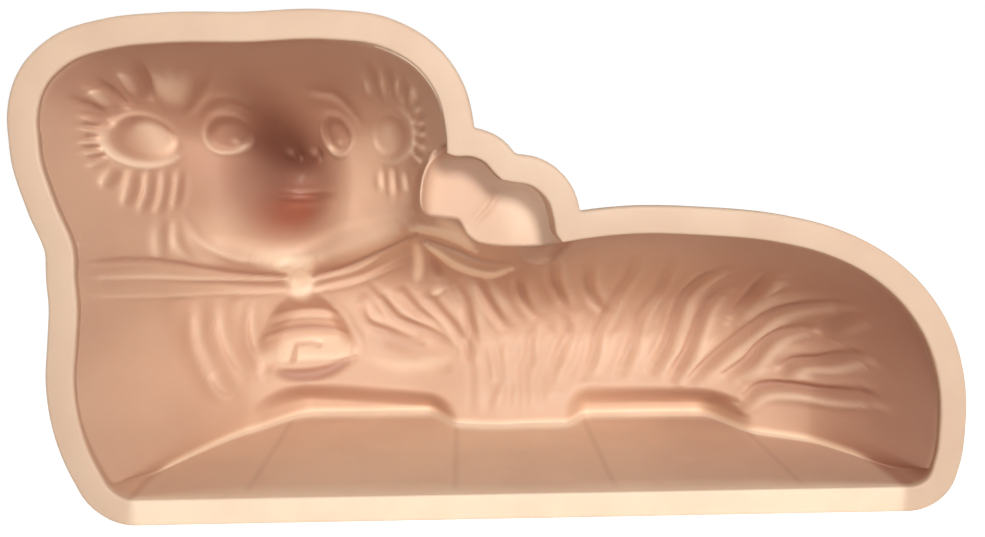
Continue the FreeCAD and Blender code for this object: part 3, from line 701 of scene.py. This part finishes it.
# %% offset outlines
def offset(distance):
    """the mouth outline moved outward, with the loops that form at its notches pulled straight"""
    if distance == 0:
        return mouth
    ahead, behind = np.roll(mouth, -1, axis=0) - mouth, mouth - np.roll(mouth, 1, axis=0)
    run = sum(step / np.linalg.norm(step, axis=1)[:, None] for step in (ahead, behind))
    run /= np.linalg.norm(run, axis=1)[:, None]
    moved = mouth + distance * np.c_[run[:, 1], -run[:, 0]]
    gaps = np.min(np.hypot(moved[:, None, 0] - mouth[:, 0], moved[:, None, 1] - mouth[:, 1]), axis=1)
    good = np.flatnonzero(gaps > distance * 0.985)
    index = np.arange(len(mouth))
    return np.c_[np.interp(index, good, moved[good, 0]), np.interp(index, good, moved[good, 1])]


print("rim outline", np.round(np.ptp(offset(RIM), axis=0), 1).tolist(), "mm")

# %% [markdown]
# Silicone cures in one piece, so hollow, rim and outside are one closed mesh. A grid from Blender's own
# operator is laid over the hollow, with rows packed more closely near the mouth. Three values are kept with
# each vertex for the material: how far a mark is pressed in, how much painted light or shade it gets, and
# whether it lies in the hollow. The back edge of the floor gets a painted highlight, where light gathers in the
# corner.

# %% patches
N = len(mouth)
ROWS = 160
OUTER_ROWS = 22
ROW_PACKING = 0.35
GROOVE_LIMIT = 2.3
RIDGE_LIMIT = 3.4
STEEPEST = 3
LIT_HEIGHT = 3.0
LIT_SHARE = 0.9


def patch(bm, low_edge, high_edge, rows, depth, hollow):
    """a grid between two edges of stations, laid on a depth and joined up at both ends"""
    made = bmesh.ops.create_grid(bm, x_segments=STATIONS, y_segments=rows, size=1)["verts"]
    s = np.array([round((v.co.x + 1) / 2 * STATIONS) for v in made])
    t = np.array([(v.co.y + 1) / 2 for v in made])
    t = t - ROW_PACKING * t * (1 - t) * (1 - 2 * t)
    place = low_edge[s] + (high_edge[s] - low_edge[s]) * t[:, None]
    depths, pressed, shades = depth(place[:, 0], place[:, 1])
    for vert, (x, z), d, mark, shade in zip(made, place, depths, pressed, shades):
        vert.co = (x * MM, (RIM_Y + d) * MM, z * MM)
        vert[mark_layer] = mark
        vert[light_and_shade_layer] = shade
        vert[hollow_layer] = hollow
    for end in (0, STATIONS):
        column = [vert for vert, station in zip(made, s) if station == end]
        bmesh.ops.pointmerge(bm, verts=column, merge_co=column[0].co)


def edges_of(outline):
    """the lower and the upper edge of a patch, one place per station"""
    low_edge = np.vstack([outline[:STATIONS], outline[STATIONS]])
    high_edge = np.vstack([outline[0], outline[:STATIONS - 1:-1]])
    return low_edge, high_edge


def inner_depth(x, z):
    """the hollow with all its marks, which stay within the wall and fade at the mouth and the floor"""
    depth = depth_at(x, z)
    step = 0.5
    lean = np.hypot(depth_at(x + step, z) - depth, depth_at(x, z + step) - depth) / step
    slant = np.minimum(np.hypot(1, lean), STEEPEST)
    room = ease(from_edge(x, z) / MARK_FADE) * ease((z - FLOOR) / FLOOR_FADE)
    marks = marks_at(x, z) / slant + relief.press(x, z) * room
    limit = np.where(marks > 0, GROOVE_LIMIT, RIDGE_LIMIT)
    pressed = limit * np.tanh(marks / limit)
    # the painted shade and highlights of the strokes, with a painted highlight along the back edge of the floor
    lit_edge = np.clip(1 - (z - FLOOR) / LIT_HEIGHT, 0, 1) * ease((depth - 20) / 10)
    shade = light_and_shade.press(x, z) * ease(from_edge(x, z) / 3) - LIT_SHARE * lit_edge
    return depth + slant * pressed, pressed, shade


print("grid", STATIONS, "by", ROWS)

# %% [markdown]
# The hollow comes first. Both ends of its grid are merged to one vertex, because all rows meet there.

# %% hollow
bm = bmesh.new()
mark_layer = bm.verts.layers.float.new("pressed")
light_and_shade_layer = bm.verts.layers.float.new("light_and_shade")
hollow_layer = bm.verts.layers.float.new("hollow")
low_edge, high_edge = edges_of(mouth)
patch(bm, low_edge, high_edge, ROWS, inner_depth, 1.0)
print("inner verts", len(bm.verts), "boundary", sum(e.is_boundary for e in bm.edges))

# %% [markdown]
# From the edge of the hollow the mesh grows outward row by row: down the wall to the mouth, over a small
# rounding onto the rim, round the outer edge of the rim and back to the wall. Extruding rows keeps the
# shell closed and the faces in order.

# %% rim
edge_depths = depth_at(mouth[:, 0], mouth[:, 1])
rim_verts = [v for v in bm.verts if v.is_boundary]
tree = KDTree(len(rim_verts))
for number, vert in enumerate(rim_verts):
    tree.insert(vert.co, number)
tree.balance()
ring = [rim_verts[tree.find((x * MM, (RIM_Y + d) * MM, z * MM))[1]]
        for (x, z), d in zip(mouth, edge_depths)]
print("ring", len(ring), len(set(ring)), len(rim_verts))


def grow(ring, outline, depths, hollow):
    """one more row of faces between a ring of vertices and a new ring on another outline"""
    edges = [bm.edges.get((ring[i], ring[(i + 1) % N])) for i in range(N)]
    made = bmesh.ops.extrude_edge_only(bm, edges=edges)["geom"]
    new = {v for v in made if isinstance(v, bmesh.types.BMVert)}
    out = []
    for vert, (x, z), d in zip(ring, outline, np.broadcast_to(depths, N)):
        other = next(e.other_vert(vert) for e in vert.link_edges if e.other_vert(vert) in new)
        other.co = (x * MM, (RIM_Y + d) * MM, z * MM)
        other[hollow_layer] = hollow
        out.append(other)
    return out


LIP = 1.0
RIM_PROFILE = [
    (0, 0.9), (0.12, 0.4), (0.4, 0.1), (0.9, 0.0), (RIM / 2, 0.0), (RIM - 1.4, 0.0), (RIM - 0.6, 0.14),
    (RIM - 0.14, 0.6), (RIM, 1.4), (RIM, RIM_THICKNESS - 1.2), (RIM - 0.4, RIM_THICKNESS - 0.3),
    (RIM - 1.2, RIM_THICKNESS), (WALL + 2, RIM_THICKNESS), (WALL, RIM_THICKNESS + 0.1),
]
for share in (0.85, 0.7, 0.55, 0.4, 0.25, 0.12):
    ring = grow(ring, mouth, LIP + share * (edge_depths - LIP), 1.0)
for out, d in RIM_PROFILE:
    ring = grow(ring, offset(out), d, 0.0)

# %% [markdown]
# Behind the rim the wall goes back to meet the outside patch. Its grid is coarser, because the outside
# has no marks. The two meet on the same stations, so that welding them leaves no open edge.

# %% outside and closing
outside = offset(WALL)


def outer_depth(x, z):
    """the outside of the wall, which has no marks and no painted light or shade"""
    plain = np.zeros(len(x))
    return np.maximum(rolled_depth(x, z), RIM_THICKNESS + 0.2), plain, plain


outer_edge = outer_depth(outside[:, 0], outside[:, 1])[0]
for share in (0.1, 0.3, 0.55, 0.8, 0.95):
    ring = grow(ring, outside, RIM_THICKNESS + 0.1 + share * (outer_edge - RIM_THICKNESS - 0.1), 0.0)
ring = grow(ring, outside, outer_edge, 0.0)
low_edge, high_edge = edges_of(outside)
patch(bm, low_edge, high_edge, OUTER_ROWS, outer_depth, 0.0)
bmesh.ops.remove_doubles(bm, verts=[v for v in bm.verts if v.is_boundary], dist=0.002 * MM)
print("verts", len(bm.verts), "edges with an open or odd side", sum(not e.is_manifold for e in bm.edges))
bmesh.ops.recalc_face_normals(bm, faces=bm.faces)
print("silicone", round(bm.calc_volume() * 1e6, 1), "cm3")
mesh = bpy.data.meshes.new("mould")
bm.to_mesh(mesh)
bm.free()
mesh.shade_smooth()
mould = bpy.data.objects.new("mould", mesh)
bpy.context.collection.objects.link(mould)
print("triangles", sum(len(p.vertices) - 2 for p in mesh.polygons))

# %% [markdown]
# Four thin ribs hold the base wall off the shelf. Only faint lines on the floor of the hollow hint at
# them, so they are a guess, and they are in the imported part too. Each is a bevelled block that sinks a
# little into the base wall above it.

# %% base ribs
RIB_SHARES = [-0.610, -0.127, 0.248, 0.694]
RIB_THICKNESS = 3.0
RIB_SETBACK = 8.0
RIB_HEIGHT = RIM - WALL / 2
RIB_ROUNDING = 0.4
RIB_SPOTS = [share * HALF_LENGTH for share in RIB_SHARES]
blocks = bmesh.new()
for x in RIB_SPOTS:
    reach = float(depth_at(x, FLOOR)) - RIB_SETBACK
    middle = Vector((x, RIM_Y + RIM_THICKNESS / 2 + reach / 2, RIB_HEIGHT / 2)) * MM
    size = Vector((RIB_THICKNESS, reach - RIM_THICKNESS / 2, RIB_HEIGHT)) * MM
    bmesh.ops.create_cube(blocks, size=1, matrix=Matrix.Translation(middle) @ Matrix.Diagonal((*size, 1)))
bmesh.ops.bevel(blocks, geom=list(blocks.edges), offset=RIB_ROUNDING * MM, segments=2, profile=0.5,
                affect="EDGES", material=-1)
rib_mesh = bpy.data.meshes.new("base_ribs")
blocks.to_mesh(rib_mesh)
blocks.free()
base_ribs = bpy.data.objects.new("base_ribs", rib_mesh)
bpy.context.collection.objects.link(base_ribs)
print("ribs at", [round(x, 1) for x in RIB_SPOTS], "faces", len(rib_mesh.polygons))

# %% [markdown]
# Cast silicone is matt to satin, a little translucent and nearly one colour. Its tone here changes with the
# place to paint light and shade: pale where light passes the thin rim, a painted red-brown shade in deep pits.
# A few helpers keep the node trees short.

# %% node helpers
def feed(tree, socket, source):
    """an input gets a plain value, or a link from another socket"""
    if isinstance(source, bpy.types.NodeSocket):
        tree.links.new(source, socket)
    else:
        socket.default_value = source


def add(tree, kind, **settings):
    """a node with its settings; a key that names an input feeds that input"""
    node = tree.nodes.new(kind)
    for key, value in settings.items():
        if key in node.inputs:
            feed(tree, node.inputs[key], value)
        else:
            setattr(node, key, value)
    return node


def worked(tree, operation, *values):
    """the result of a Math node on sockets or plain numbers"""
    node = add(tree, "ShaderNodeMath", operation=operation)
    for socket, value in zip(node.inputs, values):
        feed(tree, socket, value)
    return node.outputs[0]


def eased(tree, value, low, high):
    """0 below low, 1 above high, with a smooth step between"""
    step = add(tree, "ShaderNodeMapRange", interpolation_type="SMOOTHSTEP", Value=value)
    step.inputs["From Min"].default_value = low
    step.inputs["From Max"].default_value = high
    return step.outputs["Result"]


def ranged(tree, value, low, high):
    """a value from 0 to 1 turned into one from low to high"""
    step = add(tree, "ShaderNodeMapRange", Value=value)
    step.inputs["To Min"].default_value = low
    step.inputs["To Max"].default_value = high
    return step.outputs["Result"]


def mixed(tree, share, first, second):
    """a colour between two others; each may be a value or a socket"""
    mix = add(tree, "ShaderNodeMix", data_type="RGBA")
    for index, source in ((0, share), (6, first), (7, second)):
        feed(tree, mix.inputs[index], source)
    return mix.outputs[2]


def material(name):
    """a new material, its node tree and its Principled shader"""
    made = bpy.data.materials.new(name)
    made.use_nodes = True
    return made, made.node_tree, made.node_tree.nodes["Principled BSDF"]


# %% [markdown]
# The tones paint light and shade into the silicone's one colour: the darker ones are painted shade, the lighter
# ones painted light. Each spot is a place (across and up, in millimetres), how tall it is for its width, where
# it starts and where it is full, its share, and a tone.

# %% silicone tones
# The rim and inner tones are the silicone's colour, the rim paler as painted light passing through it. The
# deep, pit and warm tones are painted shade, and the lit and pale tones are painted light and painted
# highlight.
RIM_TONE = (0.715, 0.51, 0.365, 1)
INNER_TONE = (0.755, 0.50, 0.345, 1)
SHADE_AND_CLOUD_TONE = (0.44, 0.21, 0.145, 1)
PIT_SHADE_TONE = (0.22, 0.085, 0.055, 1)
WARM_SHADE_TONE = (0.40, 0.13, 0.075, 1)
LIT_TONE = (0.93, 0.63, 0.445, 1)
HIGHLIGHT_TONE = (1.0, 0.79, 0.585, 1)
# Each spot paints shade in a deep place, or light where the hollow is lit.
SPOTS = [
    (15, 16, 1.0, 52, 12, 0.45, INNER_TONE), (45, 76, 0.5, 52, 12, 0.6, INNER_TONE),
    (-52, 84, 0.7, 22, 6, 0.6, INNER_TONE), (-38, 118, 1.6, 24, 8, 0.45, INNER_TONE),
    (-96, 108, 1.3, 19, 4, 0.45, PIT_SHADE_TONE), (-84, 96, 0.8, 21, 3, 1.0, WARM_SHADE_TONE),
    (-78, 106, 1.0, 17, 5, 0.4, WARM_SHADE_TONE),
    (-90, 112, 1.6, 16, 3, 0.45, PIT_SHADE_TONE), (-85, 122, 1.4, 19, 3, 0.8, PIT_SHADE_TONE),
    (-110, 108, 1.1, 22, 5, 0.45, SHADE_AND_CLOUD_TONE), (-49, 98, 1.1, 22, 5, 0.5, LIT_TONE),
    (-118, 46, 1.0, 26, 8, 0.35, LIT_TONE), (6, 99, 1.2, 14, 3, 0.45, HIGHLIGHT_TONE),
    (-14, 84, 0.7, 26, 8, 0.6, INNER_TONE),
]
# Shares of painted shade on walls, under overhangs, at the rump, in grooves, from the dark strokes and on the
# level floor; of painted highlight on ridges and pale strokes; and of painted shade lines over the ribs. The
# cloud share is a random cloudiness of the silicone itself.
WALL_SHARE = 0.45
UNDER_SHARE = 0.56
RUMP_SHARE = 0.64
GROOVE_SHARE = 0.40
RIDGE_SHARE = 0.35
SHADE_SHARE = 0.62
HIGHLIGHT_SHARE = 0.9
FLOOR_SHARE = 0.17
FLOOR_ENDS = [(25, 105, 0.32), (-40, -120, 0.22)]
RIB_LINE_SHARE = 0.12
CLOUD_SHARE = 0.10
print("tone spots", len(SPOTS))

# %% [markdown]
# The tone starts from the rim and the hollow, the rim paler as painted light passing it. Then painted shade
# darkens steep walls, faces under overhangs and the rump end, and follows the grooves kept in the mesh, while
# the ridges get a painted highlight. Soft spots paint the shade of deep places such as the muzzle, and light on
# lit places. The painted light and shade of the strokes follows, then painted shade on the level floor and
# towards its ends. Last come faint painted shade lines over the ribs, a slow cloudiness, and a grain much finer
# than a millimetre.

# %% silicone surface
def silicone_surface():
    """colour with painted light and shade, roughness and fine grain of cast silicone, read from the object's
    own place and facing
    """
    group = bpy.data.node_groups.new("silicone_surface", "ShaderNodeTree")
    group.interface.new_socket("Color", in_out="OUTPUT", socket_type="NodeSocketColor")
    group.interface.new_socket("Roughness", in_out="OUTPUT", socket_type="NodeSocketFloat")
    group.interface.new_socket("Normal", in_out="OUTPUT", socket_type="NodeSocketVector")
    end = add(group, "NodeGroupOutput")
    here = add(group, "ShaderNodeTexCoord")
    place = add(group, "ShaderNodeSeparateXYZ", Vector=here.outputs["Object"])
    facing = add(group, "ShaderNodeSeparateXYZ", Vector=here.outputs["Normal"])

    def both(first, second):
        """a mask held down by another mask, or by a plain share"""
        return worked(group, "MULTIPLY", first, second)

    hollow = add(group, "ShaderNodeAttribute", attribute_name="hollow").outputs["Fac"]
    inside = both(eased(group, place.outputs["Y"], (RIM_Y + 0.3) * MM, (RIM_Y + 4) * MM), hollow)
    # the rim paler than the hollow: painted light passing the thin rim
    tone = mixed(group, inside, RIM_TONE, INNER_TONE)

    def toned(mask, share, other):
        """the tone so far, drawn towards another one by a mask"""
        return mixed(group, both(mask, share), tone, other)

    # painted shade on steep walls, on faces turned down and towards the rump end
    level = eased(group, facing.outputs["Z"], 1.0, 0.5)
    wall = both(eased(group, facing.outputs["Y"], -0.65, -0.05), level)
    under = eased(group, facing.outputs["Z"], 0.2, -0.8)
    rump = eased(group, place.outputs["X"], 95 * MM, 138 * MM)
    for mask, share in ((wall, WALL_SHARE), (under, UNDER_SHARE), (rump, RUMP_SHARE)):
        tone = toned(both(mask, inside), share, SHADE_AND_CLOUD_TONE)

    # painted shade in the grooves of the marks, painted highlight on their ridges
    marks = add(group, "ShaderNodeAttribute", attribute_name="pressed").outputs["Fac"]
    tone = toned(eased(group, marks, 0.3, 2.0), GROOVE_SHARE, SHADE_AND_CLOUD_TONE)
    tone = toned(eased(group, marks, -0.3, -2.6), RIDGE_SHARE, RIM_TONE)

    # spots of painted shade in deep places and of painted light on lit ones
    for x, z, tall, far, near, share, other in SPOTS:
        flat = add(group, "ShaderNodeVectorMath", operation="MULTIPLY", Vector=here.outputs["Object"])
        flat.inputs[1].default_value = (1, 0, 1 / tall)
        gap = add(group, "ShaderNodeVectorMath", operation="DISTANCE", Vector=flat.outputs["Vector"])
        gap.inputs[1].default_value = (x * MM, 0, z / tall * MM)
        spot = both(eased(group, gap.outputs["Value"], far * MM, near * MM), inside)
        tone = toned(spot, share, other)

    # the painted shade and painted highlights of the strokes
    shade = add(group, "ShaderNodeAttribute", attribute_name="light_and_shade").outputs["Fac"]
    tone = toned(eased(group, shade, 0.0, 1.0), SHADE_SHARE, SHADE_AND_CLOUD_TONE)
    tone = toned(eased(group, shade, 0.0, -1.0), HIGHLIGHT_SHARE, HIGHLIGHT_TONE)

    # painted shade on the level floor, stronger towards both ends
    level_floor = both(eased(group, facing.outputs["Z"], 0.9, 0.99), inside)
    tone = toned(level_floor, FLOOR_SHARE, SHADE_AND_CLOUD_TONE)
    for clear, full, share in FLOOR_ENDS:
        far = eased(group, place.outputs["X"], clear * MM, full * MM)
        tone = toned(both(far, level_floor), share, SHADE_AND_CLOUD_TONE)
    # painted shade: faint darker lines on the floor over each rib
    for x in RIB_SPOTS:
        gap = worked(group, "ABSOLUTE", worked(group, "SUBTRACT", place.outputs["X"], x * MM))
        tone = toned(both(eased(group, gap, 2.0 * MM, 0.3 * MM), level_floor), RIB_LINE_SHARE, PIT_SHADE_TONE)

    cloud = add(group, "ShaderNodeTexNoise", Scale=45.0, Detail=3.0, Vector=here.outputs["Object"])
    tone = toned(eased(group, cloud.outputs["Fac"], 0.35, 0.7), CLOUD_SHARE, SHADE_AND_CLOUD_TONE)
    grain = add(group, "ShaderNodeTexNoise", Scale=900.0, Detail=2.0, Vector=here.outputs["Object"])
    bump = add(group, "ShaderNodeBump", Strength=0.10, Distance=0.0002, Height=grain.outputs["Fac"])
    feed(group, end.inputs["Color"], tone)
    feed(group, end.inputs["Roughness"], ranged(group, cloud.outputs["Fac"], 0.44, 0.58))
    feed(group, end.inputs["Normal"], bump.outputs["Normal"])
    return group


# %% [markdown]
# Silicone bends light less than glass does, and a little light passes under its surface. Both are the
# same all over, so they are set on the shader itself.

# %% silicone material
silicone, tree, skin = material("silicone")
skin.inputs["IOR"].default_value = 1.41
skin.inputs["Subsurface Weight"].default_value = 0.15
skin.inputs["Subsurface Radius"].default_value = (1.0, 0.45, 0.25)
skin.inputs["Subsurface Scale"].default_value = 0.002
surface = add(tree, "ShaderNodeGroup", node_tree=silicone_surface())
for name, socket in (("Color", "Base Color"), ("Roughness", "Roughness"), ("Normal", "Normal")):
    feed(tree, skin.inputs[socket], surface.outputs[name])
for piece in (mould, base_ribs):
    piece.data.materials.append(silicone)
    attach(piece, "root")
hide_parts("silicone_shell")
print("silicone pieces", [piece.name for piece in (mould, base_ribs)])

# %% [markdown]
# Inside the rim lies a ring of drawn steel wire with a crimped sleeve over its joint. Both are packed
# parts and hidden in the silicone, so they keep their own meshes and only get a finish: bright wire is
# drawn along its length, which leaves fine scratches, and the crimped sleeve is a little duller.

# %% steel
def steel(name, tone, rough):
    """brushed steel: one metal with fine scratches in its roughness"""
    made, tree, metal = material(name)
    metal.inputs["Metallic"].default_value = 1.0
    here = add(tree, "ShaderNodeTexCoord").outputs["Object"]
    scratch = add(tree, "ShaderNodeTexNoise", Scale=1400.0, Detail=2.0, Vector=here).outputs["Fac"]
    darker = [0.85 * part for part in tone[:3]] + [1]
    feed(tree, metal.inputs["Base Color"], mixed(tree, scratch, tone, darker))
    feed(tree, metal.inputs["Roughness"], ranged(tree, scratch, rough, rough + 0.15))
    return made


FINISHES = [("rim_wire", (0.72, 0.72, 0.73, 1), 0.22), ("wire_sleeve", (0.62, 0.62, 0.63, 1), 0.32)]
for node, tone, rough in FINISHES:
    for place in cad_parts[node].material_slots:
        place.material = steel(node, tone, rough)
    print(node, "slots", len(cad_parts[node].material_slots))

# %% [markdown]
# The photo has a plain white ground with hardly a shadow. The floor is pale paper that glows a little for
# the camera, more so farther away, so that it fades into white and still holds a soft shadow near the
# mould. The world is dim, and white only where the camera sees it.

# %% floor and backdrop
def seen_directly(tree):
    """1 for rays from the camera, and for those it sends on by reflection or through glass"""
    ray = add(tree, "ShaderNodeLightPath")
    total = ray.outputs["Is Camera Ray"]
    for name in ("Is Glossy Ray", "Is Transmission Ray"):
        total = worked(tree, "MAXIMUM", total, ray.outputs[name])
    return total


def seen_as(tree, own, shown, end):
    """one shader for the light it gives the mould, another for what the camera sees"""
    pick = add(tree, "ShaderNodeMixShader", Fac=seen_directly(tree))
    tree.links.new(own, pick.inputs[1])
    tree.links.new(shown, pick.inputs[2])
    tree.links.new(pick.outputs["Shader"], tree.nodes[end].inputs["Surface"])


bpy.ops.mesh.primitive_plane_add(size=20)
floor = bpy.context.object
floor.name = "floor"
paper, tree, pale = material("floor")
pale.inputs["Base Color"].default_value = (0.78, 0.77, 0.76, 1)
pale.inputs["Roughness"].default_value = 0.9
here = add(tree, "ShaderNodeTexCoord").outputs["Object"]
away = add(tree, "ShaderNodeVectorMath", operation="LENGTH", Vector=here).outputs["Value"]
glow = add(tree, "ShaderNodeEmission", Strength=ranged(tree, eased(tree, away, 0.25, 1.2), 0.82, 1.0))
lit = add(tree, "ShaderNodeAddShader")
tree.links.new(pale.outputs["BSDF"], lit.inputs[0])
tree.links.new(glow.outputs["Emission"], lit.inputs[1])
seen_as(tree, pale.outputs["BSDF"], lit.outputs["Shader"], "Material Output")
floor.data.materials.append(paper)
print("floor", list(floor.dimensions))

# %% [markdown]
# The world does the same: a dim warm light on the mould, and plain white behind it.

# %% studio world
world = bpy.data.worlds.new("studio")
bpy.context.scene.world = world
world.use_nodes = True
tree = world.node_tree
soft = tree.nodes["Background"]
soft.inputs["Color"].default_value = (1.0, 0.98, 0.96, 1)
soft.inputs["Strength"].default_value = 0.05
white = add(tree, "ShaderNodeBackground")
white.inputs["Color"].default_value = (1, 1, 1, 1)
seen_as(tree, soft.outputs["Background"], white.outputs["Background"], "World Output")
print("world light", soft.inputs["Strength"].default_value)

# %% [markdown]
# The light in the photo comes from high on the right and in front, with a weaker one low in front that
# fills the hollow. A third behind the mould only lights its outside, for the other views.

# %% lamps
LAMP_AIM = Vector((0, 0, 0.07))


def lamp(name, place, size, energy):
    """a square studio lamp aimed at the middle of the mould"""
    data = bpy.data.lights.new(name, "AREA")
    data.size = size
    data.energy = energy
    made = bpy.data.objects.new(name, data)
    made.location = place
    made.rotation_euler = (LAMP_AIM - made.location).to_track_quat("-Z", "Y").to_euler()
    bpy.context.collection.objects.link(made)


lamp("key", (0.25, -1.05, 0.50), 0.25, 9.5)
lamp("front", (-0.10, -1.2, 0.06), 0.3, 3.6)
lamp("back", (-0.20, 1.3, 0.24), 0.5, 5.0)
print("lamps", [light.name for light in bpy.data.lights])

# %% [markdown]
# The camera stands a little above the mould's middle and looks slightly down. Its place and lens were
# fitted to the outline and the base of the mould in the photo.

# %% camera
camera_data = bpy.data.cameras.new("camera")
camera_data.lens = 28
camera_data.sensor_width = 36
camera = bpy.data.objects.new("camera", camera_data)
CAMERA_PLACE = Vector((-15.4, RIM_Y - 235.3, 116.04)) * MM
forward = Vector((0.0398, 0.9893, -0.1400)).normalized()
right = forward.cross(Vector((0, 0, 1))).normalized()
turn = Matrix((right, right.cross(forward), -forward)).transposed().to_4x4()
turn.translation = CAMERA_PLACE
camera.matrix_world = turn
bpy.context.collection.objects.link(camera)
bpy.context.scene.camera = camera
bpy.context.scene.view_settings.view_transform = "Standard"
print("camera at", [round(value, 3) for value in turn.translation])
